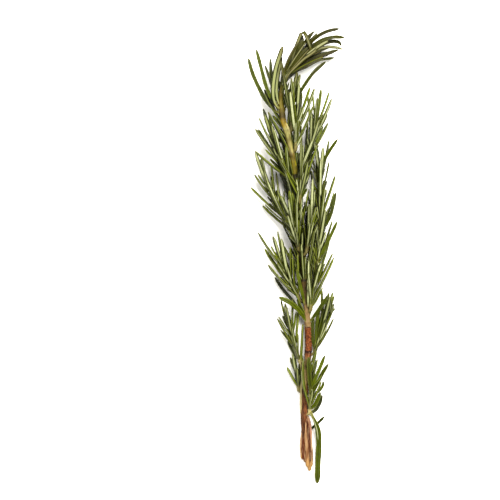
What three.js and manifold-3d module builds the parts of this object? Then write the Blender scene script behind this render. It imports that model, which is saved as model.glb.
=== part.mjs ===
// A cut rosemary sprig lying on a flat surface.
//
// Millimetres, +Z up, +Y from the torn heel to the tip, +X to the right of the stem. The origin is on the
// surface, under the middle of the sprig. The brown lower stem, the green upper stem with its own leaves,
// and each leafy side shoot are separate closed solids. Leaves stand in opposite pairs, each pair turned a
// quarter round from the last, and a leaf that would cross another shoot is turned, closed up or shortened
// until it is clear of it.

import * as THREE from 'three';
import Module from 'manifold-3d';

// ---------------------------------------------------------------------------------------------------------
// Driving dimensions
// ---------------------------------------------------------------------------------------------------------

/** Centre line of the main stem, from the torn heel to the drooping tip. */
const STEM_ROUTE = [
  [4.5, -93.0, 1.3], [4.4, -82.4, 1.3], [3.6, -70.2, 2.0], [3.8, -58.0, 3.0], [5.2, -43.0, 4.0],
  [4.9, -30.6, 4.9], [4.1, -21.2, 5.6], [3.0, -9.5, 6.3], [1.4, 5.4, 7.1], [0.0, 21.2, 7.8],
  [-1.0, 38.3, 8.6], [-3.2, 49.0, 8.9], [-4.7, 56.4, 9.0], [-6.3, 60.8, 9.1], [-6.8, 65.2, 9.2],
  [-7.4, 70.4, 9.3], [-7.1, 74.8, 9.5], [-6.2, 78.2, 9.8], [-4.5, 81.2, 10.0], [-1.8, 84.4, 10.1],
  [1.8, 87.4, 9.9],
];

/** Radius of the main stem at some places along Y. */
const STEM_RADII = [
  [-93, 1.5], [-82, 1.8], [-74, 1.7], [-69, 1.45], [-60, 1.4], [-43, 1.5], [-31, 1.45], [-20, 1.25],
  [20, 1.15], [40, 1.2], [50, 1.4], [58, 1.45], [65, 1.45], [70, 0.9], [80, 0.85], [87, 0.6],
];

const BARK_TOP_Y = -31.4;        // the brown bark ends here and the green stem begins
const WOOD_NODES_Y = [-70.2, -60.5, -49.0, -43.0];
const GREEN_NODES_Y = [
  -29.6, -21.2, -11.3, -0.5, 10.8, 22.5, 34.2, 45.9, 56.7, 66.2, 72.4, 77.0, 80.4, 82.6, 84.4, 85.8, 86.9,
];
const NODE_SWELLING = 0.16;      // share by which a node is thicker than the stem beside it
const FLAT_FOOT_Y = [-84.5, -78.5];   // between these the heel is flattened where it lies on the surface
const FIRST_PAIR_AZIMUTH = 35;   // the lowest pair of the green stem, turned round from the right-hand side
const TIP_DROOP_Y = 70;          // above this, the leaves flop over to the right with the tip
const TIP_CLOSES_Y = [45, 80];   // between these, the main stem's leaves close up against it

/**
 * Side shoots, from the heel up. y: where the shoot leaves the stem. azimuth: which way round the stem,
 * 0 right, 90 up, 180 left. opening: angle from the stem. incurve: how strongly it turns up along it.
 * length: of its own stem. pairs: leaf pairs. leaf: leaf length.
 */
const SIDE_SHOOTS = [
  { y: -70.2, azimuth: 40, opening: 6, incurve: 1.0, length: 23, pairs: 4, leaf: 14 },
  { y: -60.5, azimuth: 196, opening: 14, incurve: 0.6, length: 7, pairs: 2, leaf: 12 },
  { y: -49.0, azimuth: 172, opening: 30, incurve: 0.6, length: 19, pairs: 5, leaf: 16 },
  { y: -43.0, azimuth: 4, opening: 15, incurve: 0.6, length: 17, pairs: 5, leaf: 16 },
  { y: -23.5, azimuth: 48, opening: 16, incurve: 0.6, length: 7, pairs: 2, leaf: 17 },
  { y: -21.2, azimuth: -8, opening: 21, incurve: 3.2, length: 60, pairs: 13, leaf: 21 },
  { y: -19.0, azimuth: 168, opening: 28, incurve: 0.6, length: 19, pairs: 5, leaf: 20 },
  { y: -10.0, azimuth: 262, opening: 24, incurve: 0.6, length: 12, pairs: 2, leaf: 19 },
  { y: 2.0, azimuth: 14, opening: 20, incurve: 0.6, length: 16, pairs: 4, leaf: 19 },
  { y: 4.0, azimuth: 112, opening: 22, incurve: 0.6, length: 14, pairs: 4, leaf: 20 },
  { y: 10.8, azimuth: 190, opening: 30, incurve: 0.6, length: 24, pairs: 6, leaf: 19 },
  { y: 22.5, azimuth: 285, opening: 24, incurve: 0.6, length: 12, pairs: 3, leaf: 19 },
  { y: 25.0, azimuth: 62, opening: 18, incurve: 0.6, length: 12, pairs: 3, leaf: 20 },
  { y: 36.2, azimuth: 2, opening: 30, incurve: 0.9, length: 24, pairs: 6, leaf: 20 },
  { y: 34.2, azimuth: 168, opening: 28, incurve: 0.6, length: 17, pairs: 5, leaf: 20 },
  { y: 48.0, azimuth: 30, opening: 20, incurve: 0.6, length: 14, pairs: 4, leaf: 20 },
  { y: 56.7, azimuth: 24, opening: 16, incurve: 0.6, length: 14, pairs: 4, leaf: 19 },
];
const SIDE_RADIUS = 0.8;         // at the foot of a side shoot
const SIDE_TIP_RADIUS = 0.5;
const SIDE_STEPS = 16;           // steps along a side shoot's centre line
const SIDE_LOWEST = 1.2;         // lowest height of that line above the surface
const JOINT_GAP = 0.3;           // between a shoot's foot and the stem it grows from

/** Leaves that are folded over, hang or lie across the stem: the points each one passes through. */
const BENT_LEAVES = [
  // the long leaf that hangs from the lowest node down past the heel
  { shoot: 'side_shoot_01', width: 2.6, roll: 0, points: [
    [5.9, -69.4, 3.9], [6.9, -71.6, 4.9], [8.4, -74.6, 4.6], [9.8, -79.2, 3.4], [10.1, -85.6, 1.9],
    [9.8, -93.0, 1.0], [9.5, -103.0, 0.5]] },
  // two blades that stand in front of the bark
  { shoot: 'side_shoot_01', width: 1.8, roll: 10, points: [
    [6.1, -62.8, 4.7], [6.0, -58.0, 6.6], [5.4, -51.6, 7.6], [5.2, -44.8, 7.6]] },
  { shoot: 'side_shoot_01', width: 1.7, roll: 72, points: [
    [5.9, -69.0, 4.0], [4.8, -64.4, 6.2], [3.3, -58.4, 7.2], [2.7, -52.4, 7.2], [2.8, -45.9, 6.8]] },
  // leaves of the same node that stand out to the right, from the highest down, one of them curled
  { shoot: 'side_shoot_01', width: 1.6, roll: 0, points: [
    [6.2, -60.6, 4.9], [7.9, -55.6, 6.8], [10.4, -49.6, 7.4], [12.6, -44.1, 7.2]] },
  { shoot: 'side_shoot_01', width: 1.7, roll: 0, points: [
    [6.2, -63.4, 4.6], [8.6, -58.5, 4.6], [11.6, -52.6, 4.4], [14.4, -48.2, 4.2]] },
  { shoot: 'side_shoot_01', width: 1.4, roll: 20, points: [
    [6.1, -65.6, 4.4], [8.2, -62.2, 3.4], [10.6, -60.2, 2.8], [11.9, -58.2, 2.8], [12.0, -56.2, 3.0]] },
  { shoot: 'side_shoot_01', width: 1.8, roll: 0, points: [
    [5.9, -69.9, 3.8], [7.0, -70.4, 3.4], [8.8, -69.0, 2.9], [10.4, -66.4, 2.6], [11.6, -62.6, 2.4]] },
  { shoot: 'side_shoot_01', width: 1.7, roll: 0, points: [
    [5.9, -69.2, 4.0], [7.4, -67.8, 4.1], [9.3, -64.8, 4.0], [10.8, -61.2, 3.8]] },
  // the pair at the top of the bark: one folded over to the right, one curved out to the left
  { shoot: 'main_shoot', width: 1.8, roll: 0, points: [
    [5.2, -30.0, 5.4], [9.6, -23.9, 8.8], [13.0, -18.6, 10.2], [14.1, -18.0, 10.2], [15.0, -20.6, 9.4],
    [15.6, -25.9, 8.2]] },
  { shoot: 'main_shoot', width: 2.1, roll: 0, points: [
    [4.6, -30.0, 5.4], [1.4, -24.6, 8.0], [-3.2, -20.4, 9.6], [-8.4, -18.0, 10.2]] },
  // the leaf doubled over above the tip
  { shoot: 'main_shoot', width: 1.7, roll: 180, points: [
    [-4.2, 81.6, 10.2], [-1.3, 91.6, 12.4], [1.7, 99.7, 13.6], [2.8, 100.2, 14.0], [4.3, 97.1, 14.2],
    [6.0, 91.9, 14.0]] },
  // three long leaves of the drooping tip, the last one curled down at its end
  { shoot: 'main_shoot', width: 1.7, roll: 12, points: [
    [-0.8, 85.2, 10.2], [3.8, 93.2, 12.2], [8.9, 98.2, 13.1], [13.6, 100.6, 13.0], [18.7, 101.8, 12.4]] },
  { shoot: 'main_shoot', width: 1.7, roll: -8, points: [
    [0.3, 86.1, 10.1], [5.2, 92.7, 11.5], [10.5, 96.6, 11.9], [15.9, 98.2, 11.5], [21.2, 98.2, 10.4]] },
  { shoot: 'main_shoot', width: 1.8, roll: 0, points: [
    [1.2, 86.9, 9.8], [6.6, 92.7, 9.6], [12.5, 96.0, 8.9], [16.6, 96.9, 8.3], [19.1, 96.4, 7.4],
    [20.0, 95.0, 6.4]] },
  // a leaf that stands out to the right under the tip
  { shoot: 'side_shoot_17', width: 1.6, roll: 15, points: [
    [-2.6, 66.6, 11.2], [1.0, 73.2, 13.4], [6.8, 81.6, 14.0], [12.6, 87.0, 13.4]] },
  // three long leaves that stand out to the left under the tip, the inner one underside up
  { shoot: 'main_shoot', width: 1.8, roll: 0, points: [
    [-7.2, 64.2, 9.0], [-9.9, 65.7, 8.6], [-13.7, 69.8, 8.0], [-16.9, 75.4, 8.4], [-20.0, 82.3, 9.2],
    [-21.9, 89.1, 9.6]] },
  { shoot: 'main_shoot', width: 1.7, roll: 0, points: [
    [-7.3, 66.0, 9.4], [-9.5, 67.4, 10.0], [-11.6, 70.7, 11.0], [-13.6, 75.2, 11.8],
    [-14.8, 78.9, 12.2], [-16.5, 85.5, 12.8], [-18.4, 92.6, 13.2]] },
  { shoot: 'main_shoot', width: 2.3, roll: 180, points: [
    [-7.3, 66.4, 9.8], [-9.0, 67.2, 10.6], [-10.6, 70.4, 11.4], [-10.9, 75.4, 12.0],
    [-10.2, 81.2, 12.4], [-9.1, 86.1, 12.6], [-7.5, 91.0, 12.6], [-6.6, 93.9, 12.6]] },
];

const LEAF_WIDTH = 1.75;         // of the longest leaves; shorter ones are slimmer
const LEAF_HALF_THICKNESS = 0.45;
const MAIN_LEAF_LENGTH = 22;
const TIP_LEAF_LENGTH = 20;
const LEAF_OPENING = 24;         // from the stem, at the foot of a shoot
const TIP_LEAF_OPENING = 12;     // from the stem, at the tip of a shoot
const FIRST_PAIR_SHARE = 0.55;   // of a pair's spacing: from the foot of a side shoot to its lowest pair
const LAST_PAIR_PLACE = 0.98;    // of a side shoot's length, at which its last pair closes its tip
const LAST_PAIR_LENGTH = 0.72;   // of the other pairs' length
const LEAF_SPREAD = {            // by how much one leaf may differ from the next
  azimuth: [-14, 14], opening: [-5, 7], roll: [-34, 34], length: [0.82, 1.12], width: [0.82, 1.12],
};
const SIDE_BEND = { growth: [0.1, 0.8], lift: [-0.3, 0.1] };   // what a side shoot's leaf turns to
const MAIN_BEND = { growth: [0, 0.45], lift: [-0.2, 0.1] };
const TIP_DROOP = [0.55, -0.1, -0.25];                         // what a leaf of the tip turns to

/** Short leaves in the axils of a pair: how many, and their length, width, opening and spread round. */
const AXIL = { atMain: 4, atSide: 1, length: 0.55, width: 0.8, opening: 0.55, spread: 3 };

const STEM_SHOWS_Y = [[-75, -9], [36, 76]];   // stretches of the main stem that no leaf lies over
const LEAF_STEPS = 24;           // steps along a leaf's centre line
const ROOT_STEPS = 7;            // steps near its root in which a leaf may touch others of its shoot
const ROOT_DEPTH = 0.3;          // share of the stem's radius at which a leaf's line starts
const LEAF_GAP = 0.45;           // kept between two shoots' leaves, past their thickness
const TABLE_ROUNDING = 1.2;      // over which a leaf that meets the surface turns to lie on it
const GROWTH_SEED = 5113;

/** Ways to turn a leaf aside when it would cross another: degrees round, degrees open, share of length. */
const DODGES = [
  [0, 0, 1], [18, 0, 1], [-18, 0, 1], [0, 10, 1], [0, -8, 1], [34, 4, 0.95], [-34, 4, 0.95],
  [20, 14, 0.9], [-20, 14, 0.9], [52, 0, 0.9], [-52, 0, 0.9], [0, 20, 0.8], [75, 6, 0.8], [-75, 6, 0.8],
  [0, 0, 0.6], [30, 8, 0.5], [-30, 8, 0.5],
];

/**
 * The strands that the torn heel splits into. across, rise: sideways and upward at their ends;
 * bow: how far aside they already stand near their tops.
 */
const STRANDS = [
  { across: -2.3, rise: 0.5, endY: -91.4, radius: 0.45, bow: 0.2 },
  { across: -1.6, rise: 0.4, endY: -92.2, radius: 0.75, bow: 0.3 },
  { across: -0.7, rise: -0.1, endY: -93.8, radius: 0.85, bow: 0.4 },
  { across: 0.3, rise: 0.6, endY: -95.2, radius: 0.95, bow: 0.5 },
  { across: 1.3, rise: -0.1, endY: -97.2, radius: 0.95, bow: 0.7 },
  { across: 2.1, rise: 0.4, endY: -93.0, radius: 0.6, bow: 0.75 },
];
const STRAND_THICKNESS = [[0, 0.75], [0.35, 1], [0.8, 0.9], [1, 0.35]];   // shares of the radius
const HEEL_TOP_Y = -71.5;        // where the strands part from the stem
const HEEL_NECK_Y = -75.5;
const HEEL_FOOT_Y = -93;

/** How finely the stems are faceted. */
const WOOD_SIDES = 12;
const GREEN_SIDES = 7;
const SIDE_SIDES = 6;
const SIDE_STATIONS = [0, 0.5, 1];
const RING_SPACING = 0.6;
const STRAND_SIDES = 6;
const STRAND_STEPS = 12;
const STRAND_STATIONS = [0, 0.3, 0.6, 0.85, 1];

// ---------------------------------------------------------------------------------------------------------
// Routes: the centre lines of stems
// ---------------------------------------------------------------------------------------------------------

const UP = new THREE.Vector3(0, 0, 1);
const GROWTH = new THREE.Vector3(0, 1, 0);   // the way the sprig grew, to which side shoots' leaves turn
const SPLINE_STEPS = 160;

/** A line through close-set points, measured by its length. */
class Route {
  constructor(points) {
    this.points = points;
    this.reach = [0];
    for (let i = 1; i < points.length; i++) {
      this.reach.push(this.reach[i - 1] + points[i].distanceTo(points[i - 1]));
    }
    this.length = this.reach.at(-1);
  }

  /** The point and the direction at a distance along the line. */
  at(distance) {
    let i = 1;
    while (i < this.points.length - 1 && this.reach[i] < distance) i++;
    const share = (distance - this.reach[i - 1]) / (this.reach[i] - this.reach[i - 1]);
    const point = this.points[i - 1].clone().lerp(this.points[i], share);
    const along = this.points[i].clone().sub(this.points[i - 1]).normalize();
    return { point, along };
  }

  /** The distance along the line at which it passes a given Y. */
  distanceAtY(y) {
    let i = 1;
    while (i < this.points.length - 1 && this.points[i].y < y) i++;
    const share = (y - this.points[i - 1].y) / (this.points[i].y - this.points[i - 1].y);
    return this.reach[i - 1] + share * (this.reach[i] - this.reach[i - 1]);
  }
}

/** Close-set points on a smooth curve through hand-placed ones. */
function smoothLine(corners, steps) {
  const points = corners.map((corner) => new THREE.Vector3(...corner));
  const curve = new THREE.CatmullRomCurve3(points, false, 'catmullrom', 0.5);
  return Array.from({ length: steps + 1 }, (_, i) => curve.getPoint(i / steps));
}

/** The direction straight out from a stem: 0 degrees is to its right, 90 up, 180 to its left. */
function outward(along, azimuth) {
  const right = along.clone().cross(UP).normalize();
  const above = right.clone().cross(along);
  const turn = THREE.MathUtils.degToRad(azimuth);
  return right.multiplyScalar(Math.cos(turn)).addScaledVector(above, Math.sin(turn));
}

/** A direction that leans away from a stem, towards an outward direction, by some degrees. */
function leaning(along, out, degrees) {
  const lean = THREE.MathUtils.degToRad(degrees);
  return along.clone().multiplyScalar(Math.cos(lean)).addScaledVector(out, Math.sin(lean));
}

/** A value read off a list of [place, value] pairs, straight between them. */
function readOff(table, place) {
  let i = 1;
  while (i < table.length - 1 && table[i][0] < place) i++;
  const share = (place - table[i - 1][0]) / (table[i][0] - table[i - 1][0]);
  return table[i - 1][1] + THREE.MathUtils.clamp(share, 0, 1) * (table[i][1] - table[i - 1][1]);
}

const mainRoute = new Route(smoothLine(STEM_ROUTE, SPLINE_STEPS));

/** A place on the main stem. */
function mainStemAt(y) {
  return { ...mainRoute.at(mainRoute.distanceAtY(y)), radius: readOff(STEM_RADII, y) };
}

// ---------------------------------------------------------------------------------------------------------
// Leaves: centre lines, and how they keep clear of each other
// ---------------------------------------------------------------------------------------------------------

/** Half the width of a leaf, as a share of its widest, from its root (0) to its blunt tip (1). */
const LEAF_OUTLINE = [[0, 0.45], [0.12, 0.62], [0.35, 1], [0.8, 0.96], [0.93, 0.74], [0.98, 0.4], [1, 0]];

/** Random numbers that are the same on every run (Park-Miller). */
function makeDraw(seed) {
  const modulus = 2147483647;
  let state = seed;
  return (low, high) => {
    state = (state * 48271) % modulus;
    return low + ((high - low) * state) / modulus;
  };
}

/** Height of a point above the surface, once what lies on it is rounded off to rest there. */
function restingHeight(height) {
  return 0.5 * (height + Math.hypot(height, TABLE_ROUNDING));
}

/** Lifts a leaf's steps so that no edge of the blade goes through the surface. */
function layOnSurface(leaf) {
  leaf.points.forEach((point, i) => {
    const dip = Math.abs(leaf.across[i].z) * leaf.halfWidths[i] + LEAF_HALF_THICKNESS;
    point.z = dip + restingHeight(point.z - dip);
  });
  return leaf;
}

/** Half widths at the steps of a leaf. */
function halfWidthsOf(width) {
  const half = width / 2;
  return Array.from({ length: LEAF_STEPS + 1 }, (_, i) => half * readOff(LEAF_OUTLINE, i / LEAF_STEPS));
}

/**
 * A leaf grown from a stem. It leaves at an opening angle, and its heading then turns evenly by the vector
 * `bend` over its length. Its upper face looks in towards the stem.
 */
function growLeaf(stem, growth) {
  const out = outward(stem.along, growth.azimuth);
  const first = leaning(stem.along, out, growth.opening);
  const side = out.clone().cross(stem.along);
  side.applyAxisAngle(first, THREE.MathUtils.degToRad(growth.roll));
  const leaf = { points: [], across: [], halfWidths: halfWidthsOf(growth.width) };
  const point = stem.point.clone().addScaledVector(out, stem.radius * ROOT_DEPTH);
  for (let i = 0; i <= LEAF_STEPS; i++) {
    const heading = first.clone().addScaledVector(growth.bend, i / LEAF_STEPS).normalize();
    leaf.points.push(point.clone());
    leaf.across.push(side.clone().addScaledVector(heading, -side.dot(heading)).normalize());
    point.addScaledVector(heading, growth.length / LEAF_STEPS);
  }
  return layOnSurface(leaf);
}

/** A leaf that follows hand-placed points. Its width lies level, turned by `roll` about its length. */
function layBentLeaf(bent) {
  const route = new Route(smoothLine(bent.points, LEAF_STEPS * 3));
  const leaf = { points: [], across: [], halfWidths: halfWidthsOf(bent.width), bent: true };
  const start = route.at(0).along;
  let side = start.clone().cross(UP).normalize();
  side.applyAxisAngle(start, THREE.MathUtils.degToRad(bent.roll));
  for (let i = 0; i <= LEAF_STEPS; i++) {
    const { point, along } = route.at((route.length * i) / LEAF_STEPS);
    side = side.clone().addScaledVector(along, -side.dot(along)).normalize();
    leaf.points.push(point);
    leaf.across.push(side);
  }
  return layOnSurface(leaf);
}

/** Where points stand on a leaf for tests of distance, from its left margin (-1) to its right (1). */
const SAMPLES_ACROSS = [-0.9, -0.3, 0.3, 0.9];
const ROOT_SAMPLES = ROOT_STEPS * SAMPLES_ACROSS.length;
const STEM_SAMPLE_SPACING = 0.8;
const FARTHEST_TOUCH = 3.5;      // two members whose boxes are farther apart than this can't touch

/** Points spread over a leaf that stand for it in tests of distance. */
function leafSamples(leaf) {
  return leaf.points.flatMap((point, i) => SAMPLES_ACROSS.map((share) => ({
    at: point.clone().addScaledVector(leaf.across[i], share * leaf.halfWidths[i]),
    radius: LEAF_HALF_THICKNESS,
  })));
}

/** Spheres along a stem that stand for it in tests of distance. */
function stemSamples(route, from, to, radiusAt) {
  const count = Math.ceil((to - from) / STEM_SAMPLE_SPACING);
  return Array.from({ length: count + 1 }, (_, i) => {
    const distance = from + ((to - from) * i) / count;
    return { at: route.at(distance).point, radius: radiusAt(distance) };
  });
}

/** What has been placed so far, and what a new leaf would touch. */
class Crowd {
  constructor() {
    this.members = [];
  }

  add(samples, shoot, rootSamples) {
    const box = new THREE.Box3().setFromPoints(samples.map((sample) => sample.at));
    this.members.push({ samples, shoot, rootSamples, box });
  }

  /** Members that come nearer than the gap. Near their roots, leaves of one shoot may touch. */
  touched(samples, shoot) {
    const reach = new THREE.Box3().setFromPoints(samples.map((sample) => sample.at));
    reach.expandByScalar(FARTHEST_TOUCH);
    const near = this.members.filter((member) => member.box.intersectsBox(reach));
    return near.filter((member) => {
      const sameShoot = member.shoot === shoot;
      const mine = sameShoot ? samples.slice(ROOT_SAMPLES) : samples;
      const theirs = sameShoot ? member.samples.slice(member.rootSamples) : member.samples;
      return mine.some((a) => theirs.some((b) => {
        const limit = a.radius + b.radius + LEAF_GAP;
        return a.at.distanceToSquared(b.at) < limit * limit;
      }));
    });
  }
}

/** Whether a leaf lies over a stretch of the main stem that stays bare on top. */
function hidesStem(leaf) {
  return leaf.points.some((point, i) => {
    if (i < ROOT_STEPS || !STEM_SHOWS_Y.some(([from, to]) => point.y > from && point.y < to)) return false;
    const stem = mainStemAt(point.y);
    return point.z > stem.point.z && Math.abs(point.x - stem.point.x) < stem.radius + leaf.halfWidths[i];
  });
}

/** Grows a leaf clear of other shoots, and of its own shoot's leaves where it can; null if it can't. */
function placeLeaf(crowd, shoot, stem, growth) {
  let best = null;
  for (const [turn, open, share] of DODGES) {
    const leaf = growLeaf(stem, {
      ...growth,
      azimuth: growth.azimuth + turn,
      opening: growth.opening + open,
      length: growth.length * share,
    });
    if (hidesStem(leaf)) continue;
    const samples = leafSamples(leaf);
    const touched = crowd.touched(samples, shoot);
    if (touched.some((member) => member.shoot !== shoot)) continue;
    if (best === null || touched.length < best.cost) best = { leaf, samples, cost: touched.length };
    if (best.cost === 0) break;
  }
  if (best === null || best.cost > 1) return null;
  crowd.add(best.samples, shoot, ROOT_SAMPLES);
  return best.leaf;
}

// ---------------------------------------------------------------------------------------------------------
// Shoots: stems and the leaves they bear
// ---------------------------------------------------------------------------------------------------------

/** A side shoot's route: out from the main stem, then turning up along it. */
function sideRoute(side) {
  const stem = mainStemAt(side.y);
  const out = outward(stem.along, side.azimuth);
  const first = leaning(stem.along, out, side.opening);
  const lean = THREE.MathUtils.degToRad(side.opening);
  const foot = stem.radius * (1 + NODE_SWELLING) + JOINT_GAP + SIDE_RADIUS * Math.cos(lean);
  const point = stem.point.clone().addScaledVector(out, foot);
  const points = [point.clone()];
  for (let i = 1; i <= SIDE_STEPS; i++) {
    const heading = first.clone().addScaledVector(stem.along, (side.incurve * i) / SIDE_STEPS).normalize();
    point.addScaledVector(heading, side.length / SIDE_STEPS);
    points.push(point.clone());
  }
  points.forEach((p) => {
    p.z = SIDE_LOWEST + restingHeight(p.z - SIDE_LOWEST);
  });
  return new Route(points);
}

/** The radius along a side shoot's stem. */
function sideRadius(route, distance) {
  return SIDE_RADIUS + ((SIDE_TIP_RADIUS - SIDE_RADIUS) * distance) / route.length;
}

/** The width of leaves of a given length. */
function leafWidth(length) {
  return LEAF_WIDTH * Math.sqrt(length / MAIN_LEAF_LENGTH);
}

/** The leaves at one node of a stem: an opposite pair, and short slim leaves in its axils. */
function leafNode(crowd, draw, shoot, stem, pair, axilLeaves) {
  for (let k = 0; k < 2 + axilLeaves; k++) {
    const slim = k >= 2;
    const growth = {
      azimuth: pair.azimuth + 180 * (k % 2) + draw(...LEAF_SPREAD.azimuth) * (slim ? AXIL.spread : 1),
      opening: pair.opening * (slim ? AXIL.opening : 1) + draw(...LEAF_SPREAD.opening),
      roll: draw(...LEAF_SPREAD.roll),
      length: pair.length * (slim ? AXIL.length : 1) * draw(...LEAF_SPREAD.length),
      width: pair.width * (slim ? AXIL.width : 1) * draw(...LEAF_SPREAD.width),
      bend: pair.bend(),
    };
    const leaf = placeLeaf(crowd, shoot.name, stem, growth);
    if (leaf) shoot.leaves.push({ ...leaf, slim });
  }
}

/** The leaf pairs of a side shoot, with a last short pair that closes its tip. */
function leafSideShoot(crowd, draw, shoot) {
  const { route, side } = shoot;
  for (let index = 0; index <= side.pairs; index++) {
    const share = (index + FIRST_PAIR_SHARE) / (side.pairs + FIRST_PAIR_SHARE);
    const distance = route.length * Math.min(share, LAST_PAIR_PLACE);
    const stem = { ...route.at(distance), radius: sideRadius(route, distance) };
    const isLast = index === side.pairs;
    const pair = {
      azimuth: side.azimuth + 90 * (index % 2),
      opening: THREE.MathUtils.lerp(LEAF_OPENING, TIP_LEAF_OPENING, share),
      length: side.leaf * (isLast ? LAST_PAIR_LENGTH : 1),
      width: leafWidth(side.leaf),
      bend: () => GROWTH.clone().multiplyScalar(draw(...SIDE_BEND.growth))
        .addScaledVector(UP, draw(...SIDE_BEND.lift)),
    };
    leafNode(crowd, draw, shoot, stem, pair, isLast ? 0 : AXIL.atSide);
  }
}

/** The leaf pairs of the main stem, and the tuft that droops at its tip. */
function leafMainShoot(crowd, draw, shoot) {
  GREEN_NODES_Y.forEach((y, index) => {
    const stem = mainStemAt(y);
    const inTip = y > TIP_DROOP_Y;
    const closing = THREE.MathUtils.clamp(THREE.MathUtils.mapLinear(y, ...TIP_CLOSES_Y, 0, 1), 0, 1);
    const pair = {
      azimuth: FIRST_PAIR_AZIMUTH + 90 * (index % 2),
      opening: THREE.MathUtils.lerp(LEAF_OPENING, TIP_LEAF_OPENING, closing),
      length: inTip ? TIP_LEAF_LENGTH : MAIN_LEAF_LENGTH,
      width: leafWidth(MAIN_LEAF_LENGTH),
      bend: () => (inTip ? new THREE.Vector3(...TIP_DROOP) : stem.along.clone()
        .multiplyScalar(draw(...MAIN_BEND.growth)).addScaledVector(UP, draw(...MAIN_BEND.lift))),
    };
    leafNode(crowd, draw, shoot, stem, pair, inTip ? 0 : AXIL.atMain);
  });
}

/** Lays out the whole sprig: every stem first, then the bent leaves, then the rest by the rule of pairs. */
function layOutSprig() {
  const crowd = new Crowd();
  const draw = makeDraw(GROWTH_SEED);
  const barkTop = mainRoute.distanceAtY(BARK_TOP_Y);
  const mainRadius = (distance) => (
    readOff(STEM_RADII, mainRoute.at(distance).point.y) * (1 + NODE_SWELLING)
  );
  crowd.add(stemSamples(mainRoute, 0, barkTop, mainRadius), 'woody_stem', Infinity);
  crowd.add(stemSamples(mainRoute, barkTop, mainRoute.length, mainRadius), 'main_shoot', Infinity);

  const mainShoot = { name: 'main_shoot', leaves: [] };
  const sideShoots = SIDE_SHOOTS.map((side, i) => {
    const name = `side_shoot_${String(i + 1).padStart(2, '0')}`;
    const route = sideRoute(side);
    crowd.add(stemSamples(route, 0, route.length, (d) => sideRadius(route, d)), name, Infinity);
    return { name, route, side, leaves: [] };
  });

  for (const bent of BENT_LEAVES) {
    const leaf = layBentLeaf(bent);
    crowd.add(leafSamples(leaf), bent.shoot, ROOT_SAMPLES);
    [mainShoot, ...sideShoots].find((shoot) => shoot.name === bent.shoot).leaves.push(leaf);
  }
  leafMainShoot(crowd, draw, mainShoot);
  sideShoots.forEach((shoot) => leafSideShoot(crowd, draw, shoot));
  return { mainShoot, sideShoots };
}

// ---------------------------------------------------------------------------------------------------------
// Solids
// ---------------------------------------------------------------------------------------------------------

const wasm = await Module();
wasm.setup();

/** A closed solid through rings of points, closed by a flat fan or, at a leaf's tip, by one point. */
function loft(rings, tip) {
  const sides = rings[0].length;
  const points = rings.flat();
  const triangles = [];
  for (let ring = 0; ring + 1 < rings.length; ring++) {
    for (let i = 0; i < sides; i++) {
      const a = ring * sides + i;
      const b = ring * sides + ((i + 1) % sides);
      triangles.push([a, b + sides, b], [a, a + sides, b + sides]);
    }
  }
  const last = (rings.length - 1) * sides;
  if (tip) points.push(tip);
  for (let i = 1; i + 1 < sides; i++) {
    triangles.push([0, i, i + 1]);
    if (!tip) triangles.push([last, last + i + 1, last + i]);
  }
  for (let i = 0; tip && i < sides; i++) {
    triangles.push([last + i, points.length - 1, last + ((i + 1) % sides)]);
  }
  return new wasm.Manifold(new wasm.Mesh({
    numProp: 3,
    vertProperties: new Float32Array(points.flatMap((point) => point.toArray())),
    triVerts: new Uint32Array(triangles.flat()),
  }));
}

const HAIR_THIN = 0.05;          // edges that a join leaves and that are shorter than this are closed up

/** Joins solids that overlap into one body, without hair-thin edges or sealed hollows. */
function fuse(solids) {
  const shells = wasm.Manifold.union(solids).simplify(HAIR_THIN).decompose();
  return shells.reduce((largest, shell) => (shell.volume() > largest.volume() ? shell : largest));
}

/** Cross-sections of a leaf, in half widths and half thicknesses: an upper face and rolled-down margins. */
const BENT_SECTION = [[-1, -0.8], [0, -0.3], [1, -0.8], [0.55, 0.9], [-0.55, 0.9]];
const LEAF_SECTION = [[-1, -0.75], [1, -0.75], [0.55, 0.9], [-0.55, 0.9]];
const SLIM_SECTION = [[-1, -0.7], [1, -0.7], [0, 0.95]];
const BENT_STATIONS = [0, 0.14, 0.32, 0.44, 0.52, 0.6, 0.76, 0.94];
const LEAF_STATIONS = [0, 0.4, 0.9];

/** The middle of a leaf, and the directions of its width and its upper face, at a share of its length. */
function leafStation(leaf, share) {
  const place = share * LEAF_STEPS;
  const i = Math.min(Math.floor(place), LEAF_STEPS - 1);
  const between = place - i;
  const point = leaf.points[i].clone().lerp(leaf.points[i + 1], between);
  const across = leaf.across[i].clone().lerp(leaf.across[i + 1], between).normalize();
  const along = leaf.points[i + 1].clone().sub(leaf.points[i]).normalize();
  return { point, across, normal: across.clone().cross(along).normalize() };
}

/** A leaf's blade as a closed solid: slim leaves have three sides, and bent ones more stations. */
function leafSolid(leaf) {
  const section = leaf.slim ? SLIM_SECTION : LEAF_SECTION;
  const widest = Math.max(...leaf.halfWidths);
  const rings = (leaf.bent ? BENT_STATIONS : LEAF_STATIONS).map((share) => {
    const { point, across, normal } = leafStation(leaf, share);
    const half = widest * readOff(LEAF_OUTLINE, share);
    return (leaf.bent ? BENT_SECTION : section).map(([u, v]) => point.clone()
      .addScaledVector(across, u * half)
      .addScaledVector(normal, v * LEAF_HALF_THICKNESS));
  });
  return loft(rings, leafStation(leaf, 1).point);
}

/** The ring of a round stem, its lower side level with the surface where it lies on it. */
function stemRing(place, radius, sides) {
  return Array.from({ length: sides }, (_, i) => {
    const out = outward(place.along, (360 * (i + 0.5)) / sides);
    const point = place.point.clone().addScaledVector(out, radius);
    point.z = Math.max(point.z, 0);
    return point;
  });
}

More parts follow.
